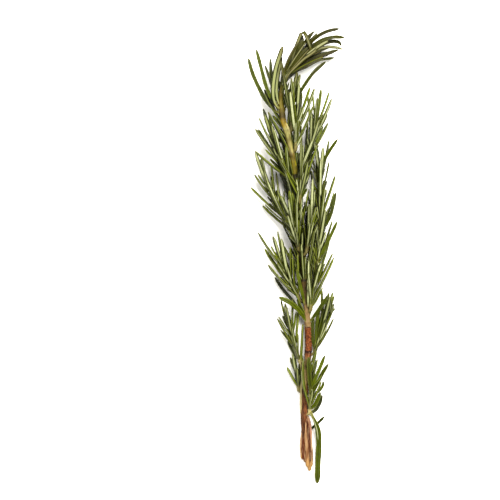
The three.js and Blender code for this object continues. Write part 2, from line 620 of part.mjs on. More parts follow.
/** Where a stem's rings go between two ends: on each swollen node, and half-way to the next. */
function ringDistances(from, to, nodes) {
  const between = nodes.slice(1).map((node, i) => (node + nodes[i]) / 2);
  const inside = [...nodes, ...between].filter((d) => d > from + RING_SPACING && d < to - RING_SPACING);
  const all = [from, ...inside.sort((a, b) => a - b), to];
  return all.filter((distance, i) => i === 0 || distance - all[i - 1] > RING_SPACING);
}

/** A stretch of the main stem, with rings at the given heights as well as at its nodes. */
function mainStemSolid(ringsY, nodesY, sides) {
  const nodes = nodesY.map((y) => mainRoute.distanceAtY(y));
  const ends = ringsY.map((y) => mainRoute.distanceAtY(y));
  const distances = [...ends.slice(0, -2), ...ringDistances(ends.at(-2), ends.at(-1), nodes)];
  const rings = distances.map((distance) => {
    const place = mainRoute.at(distance);
    const swollen = nodes.includes(distance) ? 1 + NODE_SWELLING : 1;
    return stemRing(place, readOff(STEM_RADII, place.point.y) * swollen, sides);
  });
  return loft(rings);
}

/** One strand: it leaves the stem at the top of the heel, spreads, and thins to a ragged end. */
function strandSolid(strand) {
  const top = mainStemAt(HEEL_TOP_Y).point;
  const end = mainStemAt(HEEL_FOOT_Y).point.clone().add(new THREE.Vector3(strand.across, 0, strand.rise));
  end.y = strand.endY;
  const spread = new THREE.Vector3(strand.across, 0, 0);
  const corners = [
    top,
    top.clone().lerp(end, 0.2).addScaledVector(spread, strand.bow),
    end.clone().lerp(top, 0.3).addScaledVector(spread, 0.3),
    end,
  ];
  const route = new Route(smoothLine(corners.map((corner) => corner.toArray()), STRAND_STEPS));
  const rings = STRAND_STATIONS.map((share) => stemRing(
    route.at(route.length * share), strand.radius * readOff(STRAND_THICKNESS, share), STRAND_SIDES,
  ));
  return loft(rings);
}

/** The brown stem and its torn heel. */
function woodyStemSolid() {
  const ringsY = [...FLAT_FOOT_Y, HEEL_NECK_Y, BARK_TOP_Y - JOINT_GAP];
  const bark = mainStemSolid(ringsY, WOOD_NODES_Y, WOOD_SIDES);
  return fuse([bark, ...STRANDS.map(strandSolid)]);
}

/** The green stem with every leaf that grows on it. */
function mainShootSolid(shoot) {
  const stem = mainStemSolid([BARK_TOP_Y, mainRoute.points.at(-1).y], GREEN_NODES_Y, GREEN_SIDES);
  return fuse([stem, ...shoot.leaves.map(leafSolid)]);
}

/** A side shoot: its thin stem with its leaves. */
function sideShootSolid(shoot) {
  const rings = SIDE_STATIONS.map((share) => {
    const distance = shoot.route.length * share;
    return stemRing(shoot.route.at(distance), sideRadius(shoot.route, distance), SIDE_SIDES);
  });
  return fuse([loft(rings), ...shoot.leaves.map(leafSolid)]);
}

/** A mesh of a solid, named after its piece. */
function meshOf(name, solid, material) {
  const { vertProperties, triVerts, numProp } = solid.getMesh();
  const geometry = new THREE.BufferGeometry();
  const positions = new Float32Array((vertProperties.length / numProp) * 3);
  for (let i = 0; i * numProp < vertProperties.length; i++) {
    positions.set(vertProperties.subarray(i * numProp, i * numProp + 3), i * 3);
  }
  geometry.setAttribute('position', new THREE.BufferAttribute(positions, 3));
  geometry.setIndex(new THREE.BufferAttribute(triVerts, 1));
  geometry.computeVertexNormals();
  const mesh = new THREE.Mesh(geometry, material);
  mesh.name = name;
  return mesh;
}

// ---------------------------------------------------------------------------------------------------------
// The sprig
// ---------------------------------------------------------------------------------------------------------

const bark = new THREE.MeshStandardMaterial({ color: 0x7a4a2a, roughness: 0.85, metalness: 0 });
const foliage = new THREE.MeshStandardMaterial({ color: 0x5e6f33, roughness: 0.55, metalness: 0 });

const { mainShoot, sideShoots } = layOutSprig();
const group = new THREE.Group();
group.name = 'rosemary_sprig';
group.add(meshOf('woody_stem', woodyStemSolid(), bark));
group.add(meshOf('main_shoot', mainShootSolid(mainShoot), foliage));
for (const shoot of sideShoots) group.add(meshOf(shoot.name, sideShootSolid(shoot), foliage));

export default group;
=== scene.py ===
"""A cut rosemary sprig lying on a pale surface, seen from straight above.

Sizes are in millimetres until a mesh is made, and every mesh is in metres. The sprig is laid out by the same
named values and the same rule as its solids: the stems first, then the bent leaves, then pairs of leaves that
are turned aside where they would cross another shoot.
"""
import math

import bpy
import numpy as np
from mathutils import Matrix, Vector
from mathutils.bvhtree import BVHTree


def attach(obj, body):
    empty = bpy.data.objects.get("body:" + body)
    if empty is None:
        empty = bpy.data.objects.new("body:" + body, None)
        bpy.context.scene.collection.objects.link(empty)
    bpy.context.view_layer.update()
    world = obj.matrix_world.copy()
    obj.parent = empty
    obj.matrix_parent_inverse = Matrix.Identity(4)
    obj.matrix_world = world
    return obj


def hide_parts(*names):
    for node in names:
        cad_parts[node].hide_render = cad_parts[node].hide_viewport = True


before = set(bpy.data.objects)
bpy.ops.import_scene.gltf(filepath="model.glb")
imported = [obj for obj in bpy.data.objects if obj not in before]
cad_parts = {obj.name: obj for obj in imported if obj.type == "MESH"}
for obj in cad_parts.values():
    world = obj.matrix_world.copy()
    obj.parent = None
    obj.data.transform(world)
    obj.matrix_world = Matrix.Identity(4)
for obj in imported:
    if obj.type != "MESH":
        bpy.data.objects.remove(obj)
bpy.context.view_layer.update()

MM = 0.001

# ======== The sprig's driving dimensions, as its solids have them ========

# centre line of the main stem, from the torn heel to the drooping tip
STEM_ROUTE = [
    (4.5, -93.0, 1.3), (4.4, -82.4, 1.3), (3.6, -70.2, 2.0), (3.8, -58.0, 3.0), (5.2, -43.0, 4.0),
    (4.9, -30.6, 4.9), (4.1, -21.2, 5.6), (3.0, -9.5, 6.3), (1.4, 5.4, 7.1), (0.0, 21.2, 7.8),
    (-1.0, 38.3, 8.6), (-3.2, 49.0, 8.9), (-4.7, 56.4, 9.0), (-6.3, 60.8, 9.1), (-6.8, 65.2, 9.2),
    (-7.4, 70.4, 9.3), (-7.1, 74.8, 9.5), (-6.2, 78.2, 9.8), (-4.5, 81.2, 10.0), (-1.8, 84.4, 10.1),
    (1.8, 87.4, 9.9),
]
STEM_RADII = [
    (-93, 1.5), (-82, 1.8), (-74, 1.7), (-69, 1.45), (-60, 1.4), (-43, 1.5), (-31, 1.45), (-20, 1.25),
    (20, 1.15), (40, 1.2), (50, 1.4), (58, 1.45), (65, 1.45), (70, 0.9), (80, 0.85), (87, 0.6),
]
BARK_TOP_Y = -31.4
WOOD_NODES_Y = [-70.2, -60.5, -49.0, -43.0]
GREEN_NODES_Y = [
    -29.6, -21.2, -11.3, -0.5, 10.8, 22.5, 34.2, 45.9, 56.7, 66.2, 72.4, 77.0, 80.4, 82.6, 84.4, 85.8, 86.9,
]
NODE_SWELLING = 0.16
FIRST_PAIR_AZIMUTH = 35
TIP_DROOP_Y = 70
TIP_CLOSES_Y = (45, 80)

# side shoots: where each leaves the stem (Y), which way round it, how far it opens, how strongly it turns up,
# its length, its leaf pairs, and the length of its leaves
SIDE_FACTS = ("y", "azimuth", "opening", "incurve", "length", "pairs", "leaf")
SIDE_SHOOTS = [
    (-70.2, 40, 6, 1, 23, 4, 14), (-60.5, 196, 14, 0.6, 7, 2, 12), (-49.0, 172, 30, 0.6, 19, 5, 16),
    (-43.0, 4, 15, 0.6, 17, 5, 16), (-23.5, 48, 16, 0.6, 7, 2, 17), (-21.2, -8, 21, 3.2, 60, 13, 21),
    (-19.0, 168, 28, 0.6, 19, 5, 20), (-10.0, 262, 24, 0.6, 12, 2, 19), (2.0, 14, 20, 0.6, 16, 4, 19),
    (4.0, 112, 22, 0.6, 14, 4, 20), (10.8, 190, 30, 0.6, 24, 6, 19), (22.5, 285, 24, 0.6, 12, 3, 19),
    (25.0, 62, 18, 0.6, 12, 3, 20), (36.2, 2, 30, 0.9, 24, 6, 20), (34.2, 168, 28, 0.6, 17, 5, 20),
    (48.0, 30, 20, 0.6, 14, 4, 20), (56.7, 24, 16, 0.6, 14, 4, 19),
]
SIDE_RADIUS = 0.8
SIDE_TIP_RADIUS = 0.5
SIDE_STEPS = 16
SIDE_LOWEST = 1.2
JOINT_GAP = 0.3

# leaves that are folded over, hang or lie across the stem, by shoot: width, roll, how light (0 to 1), and the
# points passed through
BENT_LEAVES = {
    "side_shoot_01": [
        (2.6, 0, 0.4, (5.9, -69.4, 3.9), (6.9, -71.6, 4.9), (8.4, -74.6, 4.6), (9.8, -79.2, 3.4),
         (10.1, -85.6, 1.9), (9.8, -93.0, 1.0), (9.5, -103.0, 0.5)),
        (1.8, 10, 0.35, (6.1, -62.8, 4.7), (6.0, -58.0, 6.6), (5.4, -51.6, 7.6), (5.2, -44.8, 7.6)),
        (1.7, 72, 0.4, (5.9, -69.0, 4.0), (4.8, -64.4, 6.2), (3.3, -58.4, 7.2), (2.7, -52.4, 7.2),
         (2.8, -45.9, 6.8)),
        (1.6, 0, 0.7, (6.2, -60.6, 4.9), (7.9, -55.6, 6.8), (10.4, -49.6, 7.4), (12.6, -44.1, 7.2)),
        (1.7, 0, 0.35, (6.2, -63.4, 4.6), (8.6, -58.5, 4.6), (11.6, -52.6, 4.4), (14.4, -48.2, 4.2)),
        (1.4, 20, 0.5, (6.1, -65.6, 4.4), (8.2, -62.2, 3.4), (10.6, -60.2, 2.8), (11.9, -58.2, 2.8),
         (12.0, -56.2, 3.0)),
        (1.8, 0, 0.0, (5.9, -69.9, 3.8), (7.0, -70.4, 3.4), (8.8, -69.0, 2.9), (10.4, -66.4, 2.6),
         (11.6, -62.6, 2.4)),
        (1.7, 0, 0.5, (5.9, -69.2, 4.0), (7.4, -67.8, 4.1), (9.3, -64.8, 4.0), (10.8, -61.2, 3.8)),
    ],
    "main_shoot": [
        (1.8, 0, 0.3, (5.2, -30.0, 5.4), (9.6, -23.9, 8.8), (13.0, -18.6, 10.2), (14.1, -18.0, 10.2),
         (15.0, -20.6, 9.4), (15.6, -25.9, 8.2)),
        (2.1, 0, 0.6, (4.6, -30.0, 5.4), (1.4, -24.6, 8.0), (-3.2, -20.4, 9.6), (-8.4, -18.0, 10.2)),
        (1.7, 180, 0.5, (-4.2, 81.6, 10.2), (-1.3, 91.6, 12.4), (1.7, 99.7, 13.6), (2.8, 100.2, 14.0),
         (4.3, 97.1, 14.2), (6.0, 91.9, 14.0)),
        (1.7, 12, 0.0, (-0.8, 85.2, 10.2), (3.8, 93.2, 12.2), (8.9, 98.2, 13.1), (13.6, 100.6, 13.0),
         (18.7, 101.8, 12.4)),
        (1.7, -8, 0.3, (0.3, 86.1, 10.1), (5.2, 92.7, 11.5), (10.5, 96.6, 11.9), (15.9, 98.2, 11.5),
         (21.2, 98.2, 10.4)),
        (1.8, 0, 0.1, (1.2, 86.9, 9.8), (6.6, 92.7, 9.6), (12.5, 96.0, 8.9), (16.6, 96.9, 8.3),
         (19.1, 96.4, 7.4), (20.0, 95.0, 6.4)),
        (1.8, 0, 0.4, (-7.2, 64.2, 9.0), (-9.9, 65.7, 8.6), (-13.7, 69.8, 8.0), (-16.9, 75.4, 8.4),
         (-20.0, 82.3, 9.2), (-21.9, 89.1, 9.6)),
        (1.7, 0, 0.45, (-7.3, 66.0, 9.4), (-9.5, 67.4, 10.0), (-11.6, 70.7, 11.0), (-13.6, 75.2, 11.8),
         (-14.8, 78.9, 12.2), (-16.5, 85.5, 12.8), (-18.4, 92.6, 13.2)),
        (2.3, 180, 0.2, (-7.3, 66.4, 9.8), (-9.0, 67.2, 10.6), (-10.6, 70.4, 11.4), (-10.9, 75.4, 12.0),
         (-10.2, 81.2, 12.4), (-9.1, 86.1, 12.6), (-7.5, 91.0, 12.6), (-6.6, 93.9, 12.6)),
    ],
    "side_shoot_17": [
        (1.6, 15, 0.25, (-2.6, 66.6, 11.2), (1.0, 73.2, 13.4), (6.8, 81.6, 14.0), (12.6, 87.0, 13.4)),
    ],
}

LEAF_WIDTH = 1.75
LEAF_HALF_THICKNESS = 0.45
FINE_HALF_THICKNESS = 0.32  # of a young slim leaf
MAIN_LEAF_LENGTH = 22
TIP_LEAF_LENGTH = 20
LEAF_OPENING = 24
TIP_LEAF_OPENING = 12
FIRST_PAIR_SHARE = 0.55
LAST_PAIR_PLACE = 0.98
LAST_PAIR_LENGTH = 0.72
LEAF_SPREAD = dict(
    azimuth=(-14, 14), opening=(-5, 7), roll=(-34, 34), length=(0.82, 1.12), width=(0.82, 1.12))
SIDE_BEND = dict(growth=(0.1, 0.8), lift=(-0.3, 0.1))
MAIN_BEND = dict(growth=(0, 0.45), lift=(-0.2, 0.1))
TIP_DROOP = (0.55, -0.1, -0.25)
AXIL_LEAVES = dict(main=4, side=1)
AXIL = dict(length=0.55, width=0.8, opening=0.55, spread=3)  # shares of a full-size leaf's
FULL_SIZE = dict(length=1, width=1, opening=1, spread=1)
STEM_SHOWS_Y = [(-75, -9), (36, 76)]
LEAF_STEPS = 24
ROOT_STEPS = 7
ROOT_DEPTH = 0.3
LEAF_GAP = 0.45
TABLE_ROUNDING = 1.2
GROWTH_SEED = 5113
DODGES = [
    (0, 0, 1), (18, 0, 1), (-18, 0, 1), (0, 10, 1), (0, -8, 1), (34, 4, 0.95), (-34, 4, 0.95),
    (20, 14, 0.9), (-20, 14, 0.9), (52, 0, 0.9), (-52, 0, 0.9), (0, 20, 0.8), (75, 6, 0.8), (-75, 6, 0.8),
    (0, 0, 0.6), (30, 8, 0.5), (-30, 8, 0.5),
]
LEAF_OUTLINE = [(0, 0.45), (0.12, 0.62), (0.35, 1), (0.8, 0.96), (0.93, 0.74), (0.98, 0.4), (1, 0)]

# ======== Layout: routes of the stems, and centre lines of the leaves ========

UP = np.array([0.0, 0.0, 1.0])
GROWTH = np.array([0.0, 1.0, 0.0])


def unit(vector):
    return vector / math.sqrt(float(vector @ vector))


def mix(low, high, share):
    return low + (high - low) * share


def clamp(value, low, high):
    return min(max(value, low), high)


def read_off(table, place):
    """A value read off a list of (place, value) pairs, straight between them."""
    i = 1
    while i < len(table) - 1 and table[i][0] < place:
        i += 1
    share = (place - table[i - 1][0]) / (table[i][0] - table[i - 1][0])
    return table[i - 1][1] + clamp(share, 0, 1) * (table[i][1] - table[i - 1][1])


class Route:
    """A line through close-set points, measured by its length."""

    def __init__(self, points):
        self.points = np.array(points, dtype=float)
        spans = np.sqrt(((self.points[1:] - self.points[:-1]) ** 2).sum(axis=1))
        self.reach = np.concatenate([[0.0], np.cumsum(spans)])
        self.length = float(self.reach[-1])

    def at(self, distance):
        """The point and the direction at a distance along the line."""
        i = clamp(int(np.searchsorted(self.reach, distance)), 1, len(self.points) - 1)
        share = (distance - self.reach[i - 1]) / (self.reach[i] - self.reach[i - 1])
        span = self.points[i] - self.points[i - 1]
        return self.points[i - 1] + span * share, unit(span)

    def distance_at_y(self, y):
        """The distance along the line at which it passes a given Y."""
        ys = self.points[:, 1]
        i = clamp(int(np.searchsorted(ys, y)), 1, len(ys) - 1)
        share = (y - ys[i - 1]) / (ys[i] - ys[i - 1])
        return float(self.reach[i - 1] + share * (self.reach[i] - self.reach[i - 1]))


def on_curve(corners, place):
    """The point and the heading at a place, counted in corners, on a Catmull-Rom curve through them."""
    i = min(int(place), len(corners) - 2)
    t = place - i
    b, c = corners[i], corners[i + 1]
    a = corners[i - 1] if i else 2 * b - c
    d = corners[i + 2] if i + 2 < len(corners) else 2 * c - b
    start, end = (c - a) / 2, (d - b) / 2
    point = b + start * t + (3 * (c - b) - 2 * start - end) * t ** 2 + (2 * (b - c) + start + end) * t ** 3
    return point, start + (end - start) * t


def smooth_line(corners, steps):
    """Close-set points on a smooth curve through given ones."""
    corners = [np.array(corner, dtype=float) for corner in corners]
    return [on_curve(corners, step / steps * (len(corners) - 1))[0] for step in range(steps + 1)]


def outward(along, azimuth):
    """The direction straight out from a stem: 0 degrees is to its right, 90 up, 180 to its left."""
    right = unit(np.cross(along, UP))
    above = np.cross(right, along)
    turn = math.radians(azimuth)
    return right * math.cos(turn) + above * math.sin(turn)


def leaning(along, out, degrees):
    """A direction that leans away from a stem, towards an outward direction."""
    lean = math.radians(degrees)
    return along * math.cos(lean) + out * math.sin(lean)


def turned(vector, axis, degrees):
    """A vector turned about an axis."""
    angle = math.radians(degrees)
    cosine = math.cos(angle)
    return (vector * cosine + np.cross(axis, vector) * math.sin(angle)
            + axis * float(axis @ vector) * (1 - cosine))


def make_draw(seed):
    """Random numbers that are the same on every run (Park-Miller)."""
    modulus = 2147483647
    state = seed

    def draw(low, high):
        nonlocal state
        state = (state * 48271) % modulus
        return low + ((high - low) * state) / modulus
    return draw


def resting_height(height):
    """Height above the surface, once what lies on it is rounded off to rest there."""
    return 0.5 * (height + math.hypot(height, TABLE_ROUNDING))


# the points that stand for a leaf in tests of distance: one in how many steps has them, where they lie across
# it, from its left margin (-1) to its right (1), their radius, and how many rows of them are at its root
SAMPLING = (1, np.array([-0.9, -0.3, 0.3, 0.9]), LEAF_HALF_THICKNESS, ROOT_STEPS)
FINE_SAMPLING = (2, np.array([-0.85, 0, 0.85]), FINE_HALF_THICKNESS, 4)
STEM_SAMPLE_SPACING = 0.8


class Leaf:
    """A leaf's centre line, the direction of its width at each step of it, and its half widths."""

    def __init__(self, points, across, width, fine=False, tone=None):
        self.fine = fine
        self.tone = tone
        self.points = np.array(points)
        self.across = np.array(across)
        self.half_widths = np.array([
            width / 2 * read_off(LEAF_OUTLINE, i / LEAF_STEPS) for i in range(LEAF_STEPS + 1)])
        for i in range(LEAF_STEPS + 1):
            dip = abs(self.across[i][2]) * self.half_widths[i] + LEAF_HALF_THICKNESS
            self.points[i][2] = dip + resting_height(self.points[i][2] - dip)

    def samples(self):
        """Points spread over the leaf, their radii, and how many of them, from the first, are at its root."""
        step, shares, radius, root_rows = FINE_SAMPLING if self.fine else SAMPLING
        reach = self.half_widths[::step, None] * shares
        points = (self.points[::step, None] + self.across[::step, None] * reach[:, :, None]).reshape(-1, 3)
        return points, np.full(len(points), radius), root_rows * len(shares)


def grow_leaf(stem, azimuth, opening, roll, length, width, bend, fine=False):
    """A leaf grown from a stem: it leaves at an angle, and its heading turns evenly by the vector bend."""
    point, along, radius = stem
    out = outward(along, azimuth)
    first = leaning(along, out, opening)
    side = turned(np.cross(out, along), first, roll)
    at = point + out * (radius * ROOT_DEPTH)
    points, across = [], []
    for i in range(LEAF_STEPS + 1):
        heading = unit(first + bend * (i / LEAF_STEPS))
        points.append(at)
        across.append(unit(side - heading * float(side @ heading)))
        at = at + heading * (length / LEAF_STEPS)
    return Leaf(points, across, width, fine)


def lay_leaf(width, roll, tone, corners, fine):
    """A leaf that follows given points. Its width lies level, turned by roll about its length."""
    route = Route(smooth_line(corners, LEAF_STEPS * 3))
    start = route.at(0)[1]
    side = turned(unit(np.cross(start, UP)), start, roll)
    points, across = [], []
    for i in range(LEAF_STEPS + 1):
        point, along = route.at(route.length * i / LEAF_STEPS)
        side = unit(side - along * float(side @ along))
        points.append(point)
        across.append(side)
    return Leaf(points, across, width, fine, tone)


def lay_leaves(crowd, shoots, rows_by_shoot, fine=False):
    """The leaves that have a place of their own."""
    for name, rows in rows_by_shoot.items():
        for width, roll, tone, *corners in rows:
            leaf = lay_leaf(width, roll, tone, corners, fine)
            crowd.add(leaf.samples(), name)
            shoots[name]["leaves"].append(leaf)


class Crowd:
    """What has been placed so far, and what a new leaf would touch."""

    def __init__(self):
        self.members = []

    def add(self, samples, shoot):
        points = samples[0]
        self.members.append((*samples, shoot, points.min(axis=0), points.max(axis=0)))

    def touched(self, samples, shoot, gap_to_others=LEAF_GAP, gap_to_own=LEAF_GAP):
        """The shoots of the members that come too near. Near their roots, a shoot's leaves may touch."""
        points, radii, roots = samples
        low, high = points.min(axis=0), points.max(axis=0)
        for others, other_radii, other_roots, other_shoot, other_low, other_high in self.members:
            is_own = other_shoot == shoot
            gap = gap_to_own if is_own else gap_to_others
            reach = radii[0] + other_radii.max() + gap
            if (other_low > high + reach).any() or (other_high < low - reach).any():
                continue
            mine, theirs = (roots, other_roots) if is_own else (0, 0)
            if theirs >= len(others):
                continue
            near = ((others > low - reach) & (others < high + reach)).all(axis=1)
            near[:theirs] = False
            span = points[mine:, None, :] - others[None, near, :]
            limit = radii[mine:, None] + other_radii[None, near] + gap
            if (np.einsum("ijk,ijk->ij", span, span) < limit ** 2).any():
                yield other_shoot


def hides_stem(leaf):
    """Whether a leaf lies over a stretch of the main stem that stays bare on top."""
    for i in range(ROOT_STEPS, LEAF_STEPS + 1):
        x, y, z = leaf.points[i]
        if not any(low < y < high for low, high in STEM_SHOWS_Y):
            continue
        point, _, radius = main_stem_at(y)
        if z > point[2] and abs(x - point[0]) < radius + leaf.half_widths[i]:
            return True
    return False


def place_leaf(crowd, shoot, stem, azimuth, opening, roll, length, width, bend):
    """Grows a leaf clear of every other shoot, and if it can of its own shoot's leaves. None if it can't."""
    best, cost = None, 0
    for turn, wider, share in DODGES:
        leaf = grow_leaf(stem, azimuth + turn, opening + wider, roll, length * share, width, bend)
        if hides_stem(leaf):
            continue
        touched = list(crowd.touched(leaf.samples(), shoot))
        if any(other != shoot for other in touched):
            continue
        if best is None or len(touched) < cost:
            best, cost = leaf, len(touched)
        if cost == 0:
            break
    if best is None or cost > 1:
        return None
    crowd.add(best.samples(), shoot)
    return best


MAIN_ROUTE_STEPS = 160
main_route = Route(smooth_line(STEM_ROUTE, MAIN_ROUTE_STEPS))


def main_stem_at(y):
    """A place on the main stem: its point, its direction and its radius."""
    point, along = main_route.at(main_route.distance_at_y(y))
    return point, along, read_off(STEM_RADII, y)


def side_route(side):
    """A side shoot's route: out from the main stem, then turning up along it."""
    point, along, radius = main_stem_at(side["y"])
    out = outward(along, side["azimuth"])
    first = leaning(along, out, side["opening"])
    foot = radius * (1 + NODE_SWELLING) + JOINT_GAP + SIDE_RADIUS * math.cos(math.radians(side["opening"]))
    at = point + out * foot
    points = [at]
    for i in range(1, SIDE_STEPS + 1):
        at = at + unit(first + along * (side["incurve"] * i / SIDE_STEPS)) * (side["length"] / SIDE_STEPS)
        points.append(at)
    points = np.array(points)
    points[:, 2] = [SIDE_LOWEST + resting_height(height - SIDE_LOWEST) for height in points[:, 2]]
    return Route(points)


def side_radius(route, distance):
    return SIDE_RADIUS + (SIDE_TIP_RADIUS - SIDE_RADIUS) * distance / route.length


def stem_samples(route, start, end, radius_at):
    """Spheres along a stem that stand for it in tests of distance. Its own shoot may touch them all."""
    count = math.ceil((end - start) / STEM_SAMPLE_SPACING)
    distances = [start + (end - start) * i / count for i in range(count + 1)]
    points = np.array([route.at(distance)[0] for distance in distances])
    return points, np.array([radius_at(distance) for distance in distances]), math.inf


def leaf_width(length):
    """The width of leaves of a given length: shorter leaves are slimmer."""
    return LEAF_WIDTH * math.sqrt(length / MAIN_LEAF_LENGTH)


def leaf_node(crowd, draw, shoot, stem, pair, axil_leaves):
    """The leaves at one node of a stem: an opposite pair, and short slim leaves in its axils."""
    for k in range(2 + axil_leaves):
        slim = AXIL if k >= 2 else FULL_SIZE
        azimuth = pair["azimuth"] + 180 * (k % 2) + draw(*LEAF_SPREAD["azimuth"]) * slim["spread"]
        opening = pair["opening"] * slim["opening"] + draw(*LEAF_SPREAD["opening"])
        roll = draw(*LEAF_SPREAD["roll"])
        length = pair["length"] * slim["length"] * draw(*LEAF_SPREAD["length"])
        width = pair["width"] * slim["width"] * draw(*LEAF_SPREAD["width"])
        leaf = place_leaf(crowd, shoot["name"], stem, azimuth, opening, roll, length, width, pair["bend"]())
        if leaf:
            shoot["leaves"].append(leaf)


def leaf_side_shoot(crowd, draw, shoot):
    """The leaf pairs of a side shoot, with a last short pair that closes its tip."""
    route, side = shoot["route"], shoot["side"]
    for index in range(side["pairs"] + 1):
        share = (index + FIRST_PAIR_SHARE) / (side["pairs"] + FIRST_PAIR_SHARE)
        distance = route.length * min(share, LAST_PAIR_PLACE)
        stem = (*route.at(distance), side_radius(route, distance))
        is_last = index == side["pairs"]
        pair = dict(
            azimuth=side["azimuth"] + 90 * (index % 2),
            opening=mix(LEAF_OPENING, TIP_LEAF_OPENING, share),
            length=side["leaf"] * (LAST_PAIR_LENGTH if is_last else 1),
            width=leaf_width(side["leaf"]),
            bend=lambda: GROWTH * draw(*SIDE_BEND["growth"]) + UP * draw(*SIDE_BEND["lift"]))
        leaf_node(crowd, draw, shoot, stem, pair, 0 if is_last else AXIL_LEAVES["side"])


def leaf_main_shoot(crowd, draw, shoot):
    """The leaf pairs of the main stem, and the tuft that droops at its tip."""
    low, high = TIP_CLOSES_Y
    for index, y in enumerate(GREEN_NODES_Y):
        stem = main_stem_at(y)
        in_tip = y > TIP_DROOP_Y

        def main_bend():
            return stem[1] * draw(*MAIN_BEND["growth"]) + UP * draw(*MAIN_BEND["lift"])

        pair = dict(
            azimuth=FIRST_PAIR_AZIMUTH + 90 * (index % 2),
            opening=mix(LEAF_OPENING, TIP_LEAF_OPENING, clamp((y - low) / (high - low), 0, 1)),
            length=TIP_LEAF_LENGTH if in_tip else MAIN_LEAF_LENGTH,
            width=leaf_width(MAIN_LEAF_LENGTH),
            bend=(lambda: np.array(TIP_DROOP)) if in_tip else main_bend)
        leaf_node(crowd, draw, shoot, stem, pair, 0 if in_tip else AXIL_LEAVES["main"])


def lay_out_sprig():
    """Every stem first, then the bent leaves, then the rest by the rule of pairs."""
    crowd = Crowd()
    draw = make_draw(GROWTH_SEED)
    bark_top = main_route.distance_at_y(BARK_TOP_Y)

    def main_radius(distance):
        return read_off(STEM_RADII, main_route.at(distance)[0][1]) * (1 + NODE_SWELLING)

    crowd.add(stem_samples(main_route, 0, bark_top, main_radius), "woody_stem")
    crowd.add(stem_samples(main_route, bark_top, main_route.length, main_radius), "main_shoot")
    shoots = {"main_shoot": dict(name="main_shoot", route=main_route, leaves=[])}
    for i, row in enumerate(SIDE_SHOOTS):
        name = f"side_shoot_{i + 1:02d}"
        side = dict(zip(SIDE_FACTS, row))
        route = side_route(side)
        crowd.add(stem_samples(route, 0, route.length, lambda d: side_radius(route, d)), name)
        shoots[name] = dict(name=name, route=route, side=side, leaves=[])
    lay_leaves(crowd, shoots, BENT_LEAVES)
    leaf_main_shoot(crowd, draw, shoots["main_shoot"])
    for name, shoot in shoots.items():
        if name != "main_shoot":
            leaf_side_shoot(crowd, draw, shoot)
    grow_tufts(crowd, shoots)
    return shoots


# ======== Tufts: young slim leaves that crowd the axils between the pairs ========

TUFT_SEED = 811
TUFT_GAPS = dict(gap_to_others=0.0, gap_to_own=-0.3)  # it may lie snug against its own shoot's leaves
TUFT_TURN = 137.5  # degrees round the stem from one to the next
TUFT_TRIES = [
    (0, 0, 1), (45, 0, 0.9), (-45, 0, 0.9), (90, 6, 0.8), (-90, 6, 0.8), (0, 12, 0.8), (150, 0, 0.7),
    (0, -5, 0.6), (60, 14, 0.6), (-60, 14, 0.6),
]
TUFT_ROLL = (-60, 60)
SIDE_TUFT = dict(spacing=0.55, opening=(8, 34), length=(6, 13), width=(0.9, 1.3))
MAIN_TUFT = dict(spacing=0.9, opening=(8, 30), length=(9, 17), width=(0.9, 1.4), from_y=-29, to_y=72)
COVER = dict(spacing=1.5, opening=(5, 16), length=(10, 18), width=(1.2, 1.7), from_y=-12, to_y=34)
COVER_AZIMUTH = (50, 130)
TIP_TUFT = dict(spacing=0.8, opening=(3, 16), length=(12, 17), width=(1.2, 1.7), from_y=72.5, to_y=87)
TUFT_LIMITS = (-22.6, 21.7)  # in X
SIDE_TUFT_FROM = 0.8  # past the foot of a side shoot
SIDE_TUFT_TO = 0.97  # of its length
TUFT_DROOP = (0.5, 1.2)
SPARSE_BELOW_Y = -40
SPARSE = 2.4

